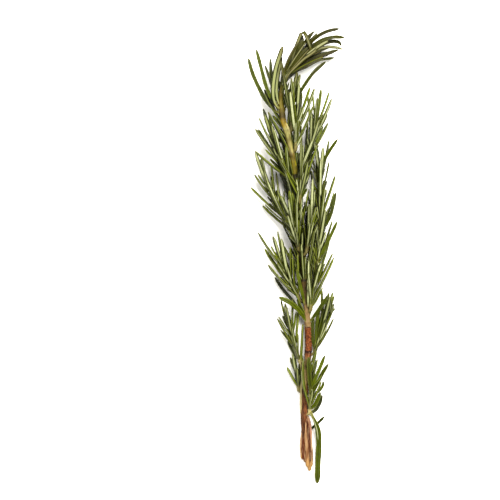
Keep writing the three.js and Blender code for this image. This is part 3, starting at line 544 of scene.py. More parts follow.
# slim leaves with a place of their own, most of them in the drooping tip, as the bent leaves are given
LAID_TUFT = {
    "main_shoot": [
        (1.6, 165, 0.4, (-5.5, 78.9, 11.2), (-3.8, 81.6, 12.2), (-1.1, 84.4, 13.0), (3.2, 88.4, 13.8),
         (7.5, 91.3, 14.4), (10.4, 95.3, 14.6)),
        (1.4, 0, 0.3, (-3.4, 82.8, 10.2), (0.3, 91.0, 11.8), (3.8, 96.1, 12.3), (7.4, 100.5, 12.5)),
        (1.3, 0, 0.15, (-2.4, 84.0, 10.2), (2.1, 91.5, 11.6), (5.6, 96.3, 12.1), (8.9, 100.0, 12.2)),
        (1.5, 165, 0.6, (1.0, 86.8, 9.7), (7.5, 91.9, 9.4), (12.9, 94.1, 8.8), (17.5, 94.1, 8.0),
         (20.7, 93.3, 7.2)),
        (1.7, 10, 0.0, (-1.8, 84.0, 9.6), (3.9, 87.3, 10.0), (8.8, 90.2, 10.0), (13.4, 91.4, 9.4),
         (15.9, 91.3, 8.6)),
        (1.3, 150, 0.4, (-2.8, 82.4, 9.4), (3.3, 84.8, 9.0), (7.8, 87.4, 8.6), (11.9, 88.8, 8.0)),
        (1.6, 0, 0.1, (-5.7, 79.6, 10.0), (-3.1, 87.1, 11.0), (-0.4, 92.8, 11.8), (1.8, 96.8, 12.0)),
        (1.7, 0, 0.2, (-5.0, 80.8, 11.0), (-1.5, 86.1, 12.2), (1.6, 90.4, 12.8), (4.7, 93.5, 13.0)),
        (1.7, 0, 0.1, (-5.2, 80.2, 9.4), (-1.6, 88.5, 10.4), (0.9, 94.8, 10.8), (2.6, 99.2, 10.8)),
        (1.8, 0, 0.0, (-3.8, 82.0, 9.2), (1.4, 89.0, 9.8), (5.6, 93.6, 10.0), (9.6, 96.6, 9.8)),
        (1.8, 0, 0.1, (-2.2, 83.8, 9.0), (4.0, 88.8, 9.2), (10.0, 92.6, 8.8), (15.4, 94.8, 8.0)),
        (1.7, 0, 0.0, (-3.0, 83.0, 8.8), (3.8, 86.9, 8.6), (9.8, 89.8, 8.0), (14.0, 90.8, 7.2)),
        (1.2, 20, 0.1, (-7.4, 68.4, 9.6), (-10.2, 72.1, 9.6), (-11.8, 80.1, 10.2), (-12.1, 89.2, 10.6)),
        (2.0, 180, 0.25, (-7.2, 67.6, 9.4), (-8.6, 69.5, 10.2), (-9.4, 74.5, 11.0), (-8.9, 80.0, 11.3),
         (-7.9, 85.4, 11.4), (-7.2, 90.0, 11.4)),
        (1.6, 0, 0.0, (-3.6, 49.8, 8.6), (-5.6, 50.9, 7.6), (-9.4, 53.6, 6.4), (-12.4, 58.6, 5.4),
         (-15.3, 67.1, 5.0)),
        (1.6, 0, 0.35, (-2.6, 85.0, 11.0), (-0.7, 89.5, 11.8), (1.1, 94.0, 12.4), (2.9, 97.6, 12.6)),
        (0.8, 165, 0.6, (-4.8, 82.8, 12.6), (-0.7, 89.1, 13.5), (1.6, 92.4, 13.9), (3.6, 95.4, 14.1)),
        (0.8, 165, 0.3, (-3.2, 83.2, 12.6), (-1.1, 85.3, 13.3), (2.4, 89.3, 14.1), (5.2, 92.4, 14.4)),
        (1.7, 0, 0.0, (-1.5, 28.0, 6.5), (-4.0, 31.5, 5.0), (-6.4, 36.0, 4.0), (-8.4, 42.0, 3.6)),
        (1.6, 0, 0.1, (-1.8, 24.0, 6.0), (-3.8, 28.5, 4.4), (-5.4, 33.5, 3.4), (-6.6, 39.5, 3.0)),
        (1.6, 0, 0.05, (-1.6, 33.0, 6.5), (-3.4, 37.0, 5.2), (-5.4, 42.0, 4.2), (-7.4, 48.0, 3.8)),
        (1.6, 10, 0.55, (3.3, -21.5, 7.6), (2.6, -17.5, 9.0), (1.3, -12.5, 9.9), (-0.3, -5.4, 10.4)),
        (1.5, 180, 0.6, (4.9, -22.5, 7.4), (4.9, -19.0, 9.0), (4.9, -15.5, 9.6), (4.7, -11.7, 9.9)),
        (1.5, 165, 0.9, (5.6, -22.0, 7.4), (6.2, -18.5, 8.8), (7.6, -12.5, 10.2), (10.7, -2.7, 11.4)),
        (1.2, 180, 0.8, (4.0, -14.5, 7.6), (4.6, -12.0, 9.2), (5.0, -8.4, 10.2), (5.1, -1.6, 10.9)),
        (1.4, 0, 0.05, (1.0, 91.4, 12.0), (3.8, 96.6, 12.8), (5.3, 98.7, 13.0), (7.8, 100.7, 12.9)),
        (0.9, 180, 0.5, (2.9, 99.6, 14.5), (3.6, 98.3, 14.7), (4.6, 96.0, 14.8), (5.7, 92.7, 14.7)),
    ],
    "side_shoot_06": [
        (1.6, 10, 0.3, (10.2, 36.5, 7.9), (10.9, 41.0, 10.2), (14.0, 46.8, 12.6), (17.9, 52.6, 13.8)),
        (1.6, 10, 0.5, (9.3, -2.0, 6.3), (11.0, 1.5, 8.5), (13.8, 7.0, 9.6), (18.0, 16.1, 9.8)),
        (1.6, -10, 0.2, (9.9, 10.0, 6.8), (12.2, 13.4, 8.8), (15.1, 19.2, 9.8), (17.3, 29.1, 10.0)),
    ],
    "side_shoot_04": [
        (1.5, 0, 0.2, (8.2, -43.0, 4.4), (7.4, -38.5, 4.8), (7.0, -33.0, 5.2), (7.4, -26.5, 5.6)),
        (1.5, 0, 0.4, (8.9, -40.5, 4.6), (8.6, -35.0, 5.6), (9.2, -28.5, 6.4), (10.4, -21.8, 6.8)),
        (1.4, 20, 0.1, (9.4, -38.6, 4.8), (10.2, -33.0, 6.6), (11.6, -27.0, 7.8), (13.6, -20.5, 8.2)),
        (1.5, 0, 0.0, (8.4, -42.5, 4.0), (9.8, -38.5, 2.8), (11.8, -33.5, 2.2), (14.2, -28.5, 2.0)),
        (1.5, 0, 0.1, (9.9, -36.0, 4.4), (12.0, -31.0, 3.2), (14.6, -26.0, 2.8), (17.0, -21.0, 2.8)),
    ],
    "side_shoot_07": [
        (1.6, 0, 0.0, (1.5, -24.0, 4.5), (-2.5, -19.0, 3.2), (-6.4, -14.5, 2.6), (-10.0, -9.0, 2.6)),
        (1.6, 0, 0.1, (2.0, -20.0, 5.0), (-1.5, -14.0, 3.6), (-4.5, -8.0, 2.8), (-7.0, -1.0, 2.6)),
    ],
    "side_shoot_01": [
        (0.8, 160, 0.5, (5.2, -67.0, 5.2), (4.1, -63.4, 6.7), (2.7, -57.8, 7.7), (2.2, -52.4, 7.7),
         (2.5, -47.0, 7.2)),
        (0.6, 0, 0.0, (6.0, -60.0, 6.3), (5.95, -57.0, 7.25), (5.4, -51.6, 8.0), (5.25, -47.0, 8.0)),
        (1.0, 180, 0.5, (6.6, -71.6, 5.2), (7.9, -74.4, 5.0), (9.0, -77.6, 4.3), (9.5, -80.6, 3.45),
         (9.7, -83.0, 2.9)),
        (1.3, 0, 0.1, (5.0, -79.6, 1.0), (6.6, -78.2, 0.9), (9.8, -75.4, 0.9), (12.9, -72.3, 1.0)),
    ],
}


def try_tuft(crowd, shoot, stem, azimuth, draw, kind, bend):
    """One young leaf, if there is room for it."""
    opening, length, width = draw(*kind["opening"]), draw(*kind["length"]), draw(*kind["width"])
    roll = draw(*TUFT_ROLL)
    for turn, wider, share in TUFT_TRIES:
        leaf = grow_leaf(stem, azimuth + turn, opening + wider, roll, length * share, width, bend, fine=True)
        xs = leaf.points[:, 0]
        if xs.min() < TUFT_LIMITS[0] or xs.max() > TUFT_LIMITS[1] or hides_stem(leaf):
            continue
        samples = leaf.samples()
        if next(crowd.touched(samples, shoot["name"], **TUFT_GAPS), None) is None:
            crowd.add(samples, shoot["name"])
            shoot["leaves"].append(leaf)
            return


def grow_tufts(crowd, shoots):
    """Young leaves in the drooping tip and over the top of the main stem, then all round every shoot."""
    draw = make_draw(TUFT_SEED)
    main = shoots["main_shoot"]

    def tuft_bend():
        return GROWTH * draw(*SIDE_BEND["growth"]) + UP * draw(*SIDE_BEND["lift"])

    def places(kind):
        return enumerate(np.arange(kind["from_y"], kind["to_y"], kind["spacing"]))

    lay_leaves(crowd, shoots, LAID_TUFT, fine=True)
    for i, y in places(TIP_TUFT):
        droop = np.array(TIP_DROOP) * draw(*TUFT_DROOP)
        try_tuft(crowd, main, main_stem_at(y), i * TUFT_TURN, draw, TIP_TUFT, droop)
    for _, y in places(COVER):
        try_tuft(crowd, main, main_stem_at(y), draw(*COVER_AZIMUTH), draw, COVER, tuft_bend())
    for i, y in places(MAIN_TUFT):
        try_tuft(crowd, main, main_stem_at(y), i * TUFT_TURN, draw, MAIN_TUFT, tuft_bend())
    for name, shoot in shoots.items():
        if name == "main_shoot":
            continue
        route = shoot["route"]
        spacing = SIDE_TUFT["spacing"] * (SPARSE if shoot["side"]["y"] < SPARSE_BELOW_Y else 1)
        for i, distance in enumerate(np.arange(SIDE_TUFT_FROM, route.length * SIDE_TUFT_TO, spacing)):
            stem = (*route.at(distance), side_radius(route, distance))
            try_tuft(crowd, shoot, stem, i * TUFT_TURN, draw, SIDE_TUFT, tuft_bend())


# ======== Openness: how much of the sky a place on the sprig sees, by which the materials darken as painted shade ===

SKY_TILT = 42  # degrees from straight up of the slanting looks
SKY_REACH = 16
SKY_LIFT = 0.7  # above a place, to where the looks start
SKY_SLANTS = 8


def sky_directions():
    """Looks straight up, which count double, and slanting ones all round."""
    lean = math.radians(SKY_TILT)
    turns = [math.radians(360 / SKY_SLANTS * i) for i in range(SKY_SLANTS)]
    slanting = [
        Vector((math.cos(turn) * math.sin(lean), math.sin(turn) * math.sin(lean), math.cos(lean)))
        for turn in turns]
    return [Vector((0, 0, 1))] * 2 + slanting


class Canopy:
    """The blades of all the leaves, to look up through."""

    def __init__(self, shoots):
        points, faces = [], []
        for shoot in shoots.values():
            for leaf in shoot["leaves"]:
                first = len(points)
                for centre, across, half in zip(leaf.points, leaf.across, leaf.half_widths):
                    points += [centre - across * half, centre + across * half]
                faces += [(i, i + 1, i + 3, i + 2) for i in range(first, first + 2 * LEAF_STEPS, 2)]
        self.tree = BVHTree.FromPolygons([tuple(point) for point in points], faces)
        self.directions = sky_directions()

    def openness(self, point):
        """The share of looks upward from a point that meet no leaf."""
        start = Vector(point) + Vector((0, 0, SKY_LIFT))
        met = sum(self.tree.ray_cast(start, look, SKY_REACH)[0] is not None for look in self.directions)
        return 1 - met / len(self.directions)


# ======== Mesh helpers ========

def make_piece(name, parts, materials, node):
    """One smooth-shaded object, in metres, that stands for a node and rides on the root body.

    Each part has its points in millimetres, its faces, the material of each face, and its attributes.
    """
    points = np.concatenate([part[0] for part in parts])
    faces, face_materials = [], []
    first = 0
    for part_points, part_faces, part_materials, _ in parts:
        faces += [tuple(first + i for i in face) for face in part_faces]
        face_materials += part_materials
        first += len(part_points)
    mesh = bpy.data.meshes.new(name)
    mesh.from_pydata((points * MM).tolist(), [], faces)
    for key in parts[0][3]:
        values = np.concatenate([part[3][key] for part in parts])
        attribute = mesh.attributes.new(key, "FLOAT_VECTOR", "POINT")
        attribute.data.foreach_set("vector", values.astype(np.float32).ravel())
    for material in materials:
        mesh.materials.append(material)
    mesh.polygons.foreach_set("material_index", face_materials)
    mesh.polygons.foreach_set("use_smooth", [True] * len(mesh.polygons))
    mesh.update()
    piece = add_object(name, mesh)
    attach(piece, "root")
    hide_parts(node)


def add_object(name, data):
    """An object in the scene."""
    made = bpy.data.objects.new(name, data)
    bpy.context.scene.collection.objects.link(made)
    return made


def tube_faces(rings, sides):
    """Quads between rings of a closed tube, facing out."""
    faces = []
    for a in range(0, (rings - 1) * sides, sides):
        for i in range(sides):
            j = (i + 1) % sides
            faces.append((a + j, a + sides + j, a + sides + i, a + i))
    return faces


def smooth_noise(x, y, seed):
    """Soft repeatable noise from -1 to 1 that varies over about one unit of x and y."""
    total = np.zeros(np.broadcast(x, y).shape)
    for i in range(4):
        phase = seed * 12.9898 + i * 4.1414
        turn = 2.4 * i + seed
        along = x * math.cos(turn) + y * math.sin(turn)
        total = total + np.sin(along * (1.7 + 0.83 * i) + phase + 1.3 * np.sin(along * 0.71 + phase * 1.7))
    return total / 4


# ======== Leaves ========

# half of a leaf's cross-section, from the groove above the midrib, round the rolled margin, to the midrib
# below: across (share of half width), height (share of half thickness), felted (1) or not (0)
HALF_SECTION = [
    (0.00, 0.36, 0), (0.07, 0.46, 0), (0.18, 0.76, 0), (0.40, 0.96, 0), (0.62, 0.92, 0), (0.83, 0.64, 0),
    (0.96, 0.22, 0), (1.00, -0.22, 0), (0.96, -0.62, 0), (0.84, -0.90, 0), (0.68, -0.94, 0),
    (0.55, -0.78, 0), (0.47, -0.50, 1), (0.36, -0.28, 1), (0.22, -0.32, 1), (0.11, -0.56, 1),
    (0.00, -0.66, 1),
]
FINE_HALF_SECTION = [
    (0.00, 0.40, 0), (0.22, 0.84, 0), (0.60, 0.92, 0), (0.92, 0.34, 0), (0.96, -0.56, 0), (0.66, -0.92, 0),
    (0.46, -0.46, 1), (0.18, -0.36, 1), (0.00, -0.62, 1),
]
# where the sections stand, as shares of the leaf's length
STATIONS = [
    0, 0.04, 0.09, 0.15, 0.21, 0.28, 0.35, 0.42, 0.49, 0.56, 0.63, 0.70, 0.76, 0.81, 0.855, 0.895, 0.93,
    0.957, 0.978, 0.991,
]
FINE_STATIONS = [0, 0.08, 0.18, 0.30, 0.43, 0.56, 0.68, 0.78, 0.86, 0.92, 0.96, 0.985]


def whole_section(half):
    """A section's across, height and felt values all the way round, from its half."""
    return np.array(half + [(-u, v, felt) for u, v, felt in half[-2:0:-1]]).T


SECTION = whole_section(HALF_SECTION)
FINE_SECTION = whole_section(FINE_HALF_SECTION)

TIP_TAPER = 4.4  # length of the end of a leaf that narrows
TIP_STARTS = 0.66  # at the earliest, as a share of the leaf's length
MARGIN_WAVE = (0.02, 0.07)
MARGIN_WAVES = 21
LEAF_LOWEST = 0.02
FOOT_WIDTH = 0.45  # of a leaf's width, at its root
FOOT_ENDS = 0.35
TIP_CURVE = 2.4
TIP_BLUNTNESS = 0.55
ROOT_THICKNESS = 0.82  # of a leaf's thickness
ROOT_ENDS = 0.2
TIP_THINS_FROM = 0.82
TIP_THINNING = 0.86


def leaf_width_at(t, tip_start):
    """Half width as a share of the widest: narrow at the root, blunt at the tip."""
    rise = clamp(t / FOOT_ENDS, 0, 1)
    foot = mix(FOOT_WIDTH, 1, rise * rise * (3 - 2 * rise))
    tip = clamp((t - tip_start) / (1 - tip_start), 0, 1)
    return foot * (1 - tip ** TIP_CURVE) ** TIP_BLUNTNESS


def leaf_thickness_at(t):
    """Half thickness as a share of the thickest."""
    root = mix(ROOT_THICKNESS, 1, clamp(t / ROOT_ENDS, 0, 1))
    tip = clamp((t - TIP_THINS_FROM) / (1 - TIP_THINS_FROM), 0, 1)
    return root * math.sqrt(1 - TIP_THINNING * tip ** TIP_CURVE)


def leaf_mesh(leaf, draw, canopy):
    """The points, faces, face materials and attributes of one leaf."""
    section, stations, thickest = SECTION, STATIONS, LEAF_HALF_THICKNESS
    if leaf.fine:
        section, stations, thickest = FINE_SECTION, FINE_STATIONS, FINE_HALF_THICKNESS
    across_share, height_share, felted = section
    sides, rings = len(across_share), len(stations)
    widest = leaf.half_widths.max()
    length = float(np.sqrt(((leaf.points[1:] - leaf.points[:-1]) ** 2).sum(axis=1)).sum())
    tip_start = max(1 - TIP_TAPER / length, TIP_STARTS)
    tone, young = draw(0, 1), draw(0, 1)
    if leaf.tone is not None:
        tone, young = leaf.tone, 0
    wave, phase = draw(*MARGIN_WAVE), draw(0, 6.28)
    points, shape = [], []
    for t in stations:
        centre, along = on_curve(leaf.points, t * LEAF_STEPS)
        across = on_curve(leaf.across, t * LEAF_STEPS)[0]
        along = unit(along)
        across = unit(across - along * float(across @ along))
        normal = np.cross(across, along)
        half = widest * leaf_width_at(t, tip_start)
        thick = thickest * leaf_thickness_at(t)
        edge = 1 + wave * math.sin(t * MARGIN_WAVES + phase) * np.abs(across_share)
        sideways = np.outer(across_share * half * edge, across)
        points.append(centre + sideways + np.outer(height_share * thick, normal))
        openness = canopy.openness(centre)
        shape.append(np.stack([across_share, np.full(sides, t), np.full(sides, openness)], axis=1))
    tip_point = on_curve(leaf.points, LEAF_STEPS)[0]
    points = np.concatenate(points + [[tip_point]])
    points[:, 2] = np.maximum(points[:, 2], LEAF_LOWEST)
    shape = np.concatenate(shape + [[(0, 1, canopy.openness(tip_point))]])
    growth = np.tile((tone, young, 0.0), (len(points), 1))
    growth[:-1, 2] = np.tile(height_share, rings)
    last, tip = (rings - 1) * sides, rings * sides
    faces = tube_faces(rings, sides)
    faces += [(last + i, last + (i + 1) % sides, tip) for i in range(sides)] + [tuple(reversed(range(sides)))]
    felt = [int(felted[i] and felted[(i + 1) % sides]) for i in range(sides)] * (rings - 1)
    felt += [0] * (sides + 1)
    return points, faces, felt, {"leaf_shape": shape, "leaf_growth": growth}


def make_leaves(shoot, draw, canopy, materials):
    """All the leaves of a shoot as one piece."""
    parts = [leaf_mesh(leaf, draw, canopy) for leaf in shoot["leaves"]]
    make_piece(f"{shoot['name']}_leaves", parts, materials, shoot["name"])


# ======== Stems ========

# how many sides the skins have, and how far apart their rings stand
STEM_SIDES = dict(main=24, side=16, bark=48, strand=48, splinter=7)
STEM_STEPS = dict(main=0.4, side=0.45, bark=0.22)
NODE_RING = 0.55
SCAR_DROP = 0.7  # of the scars below a node
BARK_OVERLAP = 0.5  # of the bark over the foot of the green stem
STRAND_RINGS = 90
SPLINTER_RINGS = 16
SPLINTER_CURVE_STEPS = 10


def stem_mesh(route, distances, radius_at, sides, profile, facts):
    """A stem's skin. profile(angles, distance) gives its radius as a share of the stem's, around it."""
    angles = np.arange(sides) / sides * 2 * math.pi
    points, known = [], []
    for distance in distances:
        centre, along = route.at(distance)
        right, above = outward(along, 0), outward(along, 90)
        reach = radius_at(distance) * profile(angles, distance)
        sideways = np.outer(np.cos(angles) * reach, right)
        points.append(centre + sideways + np.outer(np.sin(angles) * reach, above))
        known.append(np.tile(facts(distance), (sides, 1)))
    last = (len(distances) - 1) * sides
    ends = [tuple(range(sides)), tuple(last + i for i in reversed(range(sides)))]
    faces = tube_faces(len(distances), sides) + ends
    points = np.concatenate(points)
    points[:, 2] = np.maximum(points[:, 2], 0.0)
    return points, faces, [0] * len(faces), {"stem_place": np.concatenate(known)}


def node_swell(distance, nodes):
    """How much thicker a stem is at its nodes."""
    return 1 + NODE_SWELLING * sum(math.exp(-(distance - node) ** 2) for node in nodes)


def near_node(distance, nodes):
    """1 at the ring of a node, falling to 0 beside it."""
    return max(math.exp(-((distance - node) / NODE_RING) ** 2) for node in nodes)


def make_main_stem(canopy, material):
    """The green main stem: four soft ridges run down it from node to node."""
    nodes = [main_route.distance_at_y(y) for y in GREEN_NODES_Y]
    distances = np.arange(main_route.distance_at_y(BARK_TOP_Y), main_route.length, STEM_STEPS["main"])

    def radius(distance):
        return read_off(STEM_RADII, main_route.at(distance)[0][1]) * node_swell(distance, nodes)

    def profile(angles, distance):
        ridges = 0.06 * np.cos(4 * (angles - math.radians(FIRST_PAIR_AZIMUTH)))
        scars = -0.03 * near_node(distance + SCAR_DROP, nodes)
        rough = 0.03 * smooth_noise(np.cos(angles) * 3, distance * 0.8 + np.sin(angles) * 3, 3)
        return 1 + ridges + scars + rough

    def facts(distance):
        point = main_route.at(distance)[0]
        return point[1] * MM, near_node(distance, nodes), canopy.openness(point)

    stem = stem_mesh(main_route, distances, radius, STEM_SIDES["main"], profile, facts)
    make_piece("main_shoot_stem", [stem], [material], "main_shoot")


FORK = 2.0  # below a side shoot's foot, to where its stem comes out of the one that bears it
FORK_DEPTH = 0.3
FOOT_REACH = 0.4  # on either side of the foot, to where the stem carried on backwards is fitted to it
THINNEST_ROOT = 0.55  # of a side stem's thickness, where it comes out
CLINGING_SHOOT = "side_shoot_03"  # its stem runs up the left of the bark before it parts from it
CLINGS_Y = dict(start=-71.0, short_of_foot=2, step=4)
CLINGS_AT = (-1.5, 0, 0.2)  # from the middle of the bark
CURVE_STEPS = 12


def make_side_stem(shoot, canopy, material):
    """A side shoot's stem, carried on backwards into the stem that bears it."""
    name, route, side = shoot["name"], shoot["route"], shoot["side"]
    foot, along = route.at(0)
    if name == CLINGING_SHOOT:
        ys = np.arange(CLINGS_Y["start"], side["y"] - CLINGS_Y["short_of_foot"], CLINGS_Y["step"])
        start = [main_stem_at(y)[0] + np.array(CLINGS_AT) for y in ys]
    else:
        start = [main_stem_at(side["y"] - FORK)[0] - UP * FORK_DEPTH]
    start += [foot - along * FOOT_REACH, foot + along * FOOT_REACH]
    whole = Route([*smooth_line(start, CURVE_STEPS * (len(start) - 2)), *route.points[1:]])
    extra = whole.length - route.length
    places = np.arange(side["pairs"]) + FIRST_PAIR_SHARE
    nodes = [extra + route.length * place / (side["pairs"] + FIRST_PAIR_SHARE) for place in places.tolist()]
    distances = np.linspace(0, whole.length, max(CURVE_STEPS, int(whole.length / STEM_STEPS["side"])))

    def radius(distance):
        slim = 1 if extra < distance else mix(THINNEST_ROOT, 1, distance / extra)
        return side_radius(route, max(distance - extra, 0)) * node_swell(distance, nodes) * slim

    def profile(angles, distance):
        rough = smooth_noise(np.cos(angles) * 3, distance + np.sin(angles), 5)
        return 1 + 0.05 * np.cos(4 * angles) + 0.02 * rough

    def facts(distance):
        openness = canopy.openness(whole.at(distance)[0])
        return (distance - extra) / route.length, near_node(distance, nodes), openness

    stem = stem_mesh(whole, distances, radius, STEM_SIDES["side"], profile, facts)
    make_piece(f"{name}_stem", [stem], [material], name)


RING_Y = -43.0  # a groove round the bark, below the stretch that has flaked to red-brown
# below the lowest node the bark runs on down the left of the torn wood, and thins out
BARK_FOOT = [(3.0, -82.5, 2.2), (3.0, -78.5, 2.3), (3.1, -74.2, 2.1)]
BARK_FOOT_RADII = [(-82.5, 0.3), (-79, 0.7), (-75, 1.1), (-71.6, 1.65)]
BARK_ROUTE_STEPS = 140
bark_route = Route(smooth_line([*BARK_FOOT, *STEM_ROUTE[2:7]], BARK_ROUTE_STEPS))


def make_bark_stem(canopy, material):
    """The barked lower stem, fissured along its length, with flaking scales below the green stem."""
    nodes = [bark_route.distance_at_y(y) for y in WOOD_NODES_Y]
    ring = bark_route.distance_at_y(RING_Y)
    end = bark_route.distance_at_y(BARK_TOP_Y - JOINT_GAP) + BARK_OVERLAP
    distances = np.arange(0, end, STEM_STEPS["bark"])

    def radius(distance):
        y = bark_route.at(distance)[0][1]
        table = STEM_RADII if y > BARK_FOOT_RADII[-1][0] else BARK_FOOT_RADII
        return read_off(table, y) * node_swell(distance, nodes)

    def profile(angles, distance):
        streaks = smooth_noise(np.cos(angles) * 6, np.sin(angles) * 6 + distance * 0.22, 7)
        scales = smooth_noise(np.cos(angles) * 4 + distance * 1.1, np.sin(angles) * 4 + distance * 0.3, 11)
        flaking = clamp((distance - ring) / 1.0, 0, 1)
        scales = mix(scales, np.sign(scales) * np.sqrt(np.abs(scales)), flaking)
        collar = 0.1 * math.exp(-((end - 1.0 - distance) / 0.5) ** 2)
        groove = -0.12 * math.exp(-((distance - ring) / 0.4) ** 2)
        return 1 + 0.06 * streaks + mix(0.05, 0.09, flaking) * scales + collar + groove

    def facts(distance):
        point = bark_route.at(distance)[0]
        return point[1] * MM, near_node(distance, nodes), canopy.openness(point)

    stem = stem_mesh(bark_route, distances, radius, STEM_SIDES["bark"], profile, facts)
    make_piece("woody_stem_bark", [stem], [material], "woody_stem")


# the strands that the torn heel splits into, with how light each is, and a thin dark one in a seam. bow: how
# far aside a strand already stands near its top. lift: how much higher it lies there
STRAND_FACTS = ("across", "rise", "end_y", "radius", "bow", "lift", "tone")
STRANDS = [dict(zip(STRAND_FACTS, row)) for row in [
    (-2.1, 0.5, -91.6, 0.4, 0.15, 0, 0.8), (-1.5, 0.4, -92.0, 0.75, 0.3, 0, 0.0),
    (-0.6, -0.1, -93.2, 0.75, 0.4, 0, 0.35), (0.5, 0.6, -95.4, 0.9, 0.5, 0, 0.65),
    (1.5, -0.1, -97.2, 0.95, 0.6, 0, 0.65), (2.4, 0.3, -95.0, 0.65, 0.72, 0, 0.95),
    (1.85, 1.25, -92.6, 0.42, 0.4, 1.1, 0.0),
]]
STRAND_BENDS = (0.2, 0.3)  # from its top and from its end, as shares of a strand
END_BOW = 0.3
END_LIFT = 0.5
STRAND_THICKNESS = [(0, 0.75), (0.35, 0.9), (0.9, 0.95), (0.97, 0.85), (1, 0.45)]
SPLINTERS = 40
SPLINTER_SEED = 77
# which way round its strand a splinter stands, where it parts from it (share of its length), how far it runs
# on past its end, how thick it is, how far out it stands, how much lighter it is, and how far its end lifts
SPLINTER = dict(
    turn=(0, 180), start=(0.2, 0.6), overshoot=(-3.5, 0.8), thick=(0.14, 0.3), away=(0.8, 1.2),
    lighter=(-0.2, 0.3), lift=(-0.2, 0.5))
SPLINTER_OUT = (0.6, 0.95, 0.8)  # at its start, middle and end, as shares of its strand's radius
HEEL_TOP_Y = -70.5
HEEL_FOOT_Y = -93


def strand_route(strand):
    """A strand's centre line: it leaves the stem at the top of the heel and spreads to a ragged end."""
    top = main_stem_at(HEEL_TOP_Y)[0]
    end = main_stem_at(HEEL_FOOT_Y)[0] + np.array([strand["across"], 0, strand["rise"]])
    end[1] = strand["end_y"]
    sideways = np.array([strand["across"], 0, 0])
    lift = UP * strand["lift"]
    near_top = mix(top, end, STRAND_BENDS[0]) + sideways * strand["bow"] + lift
    near_end = mix(end, top, STRAND_BENDS[1]) + sideways * END_BOW + lift * END_LIFT
    return Route(smooth_line([top, near_top, near_end, end], CURVE_STEPS))


def make_strands(material):
    """The torn heel: each strand a bundle of fibres that thins to a ragged end."""
    for index, strand in enumerate(STRANDS):
        route = strand_route(strand)

        def radius(distance):
            return strand["radius"] * read_off(STRAND_THICKNESS, distance / route.length)

        def profile(angles, distance):
            fibres = smooth_noise(np.cos(angles) * 8, np.sin(angles) * 8 + distance * 0.12, index + 21)
            tear = smooth_noise(np.cos(angles) * 4, distance * 0.5, index + 31) * distance / route.length
            return 1 + 0.24 * np.minimum(fibres, 0.3) + 0.12 * tear

        def facts(distance):
            return distance / route.length, strand["tone"], 1

        distances = np.linspace(0, route.length, STRAND_RINGS)
        stem = stem_mesh(route, distances, radius, STEM_SIDES["strand"], profile, facts)
        make_piece(f"woody_stem_strand_{index + 1}", [stem], [material], "woody_stem")


def make_splinters(material):
    """Thin fibres that have come away from the strands of the torn heel."""
    draw = make_draw(SPLINTER_SEED)
    parts = []
    for index in range(SPLINTERS):
        strand = STRANDS[index % len(STRANDS)]
        route = strand_route(strand)
        drawn = {fact: draw(*span) for fact, span in SPLINTER.items()}
        start = drawn["start"] * route.length
        tone = clamp(strand["tone"] + drawn["lighter"], 0, 1)
        low, along = route.at(start)
        high, heading = route.at(route.length)
        out = outward(along, -drawn["turn"]) * strand["radius"]
        near, middle, far = SPLINTER_OUT
        corners = [
            low + out * near, route.at(mix(start, route.length, 0.5))[0] + out * middle * drawn["away"],
            high + heading * drawn["overshoot"] + out * far * drawn["away"] + UP * drawn["lift"]]
        splinter = Route(smooth_line(corners, SPLINTER_CURVE_STEPS))

        def radius(distance):
            share = distance / splinter.length
            return drawn["thick"] * min(1.0, 0.3 + 6 * distance / splinter.length, 6 * (1.02 - share))

        def profile(angles, distance):
            return 1 + 0.25 * smooth_noise(np.cos(angles) * 2, distance * 0.6, index)

        def facts(distance):
            return 0.4 + 0.6 * distance / splinter.length, tone, 1

        distances = np.linspace(0, splinter.length, SPLINTER_RINGS)
        parts.append(stem_mesh(splinter, distances, radius, STEM_SIDES["splinter"], profile, facts))
    make_piece("woody_stem_splinters", parts, [material], "woody_stem")


# ======== Materials ========

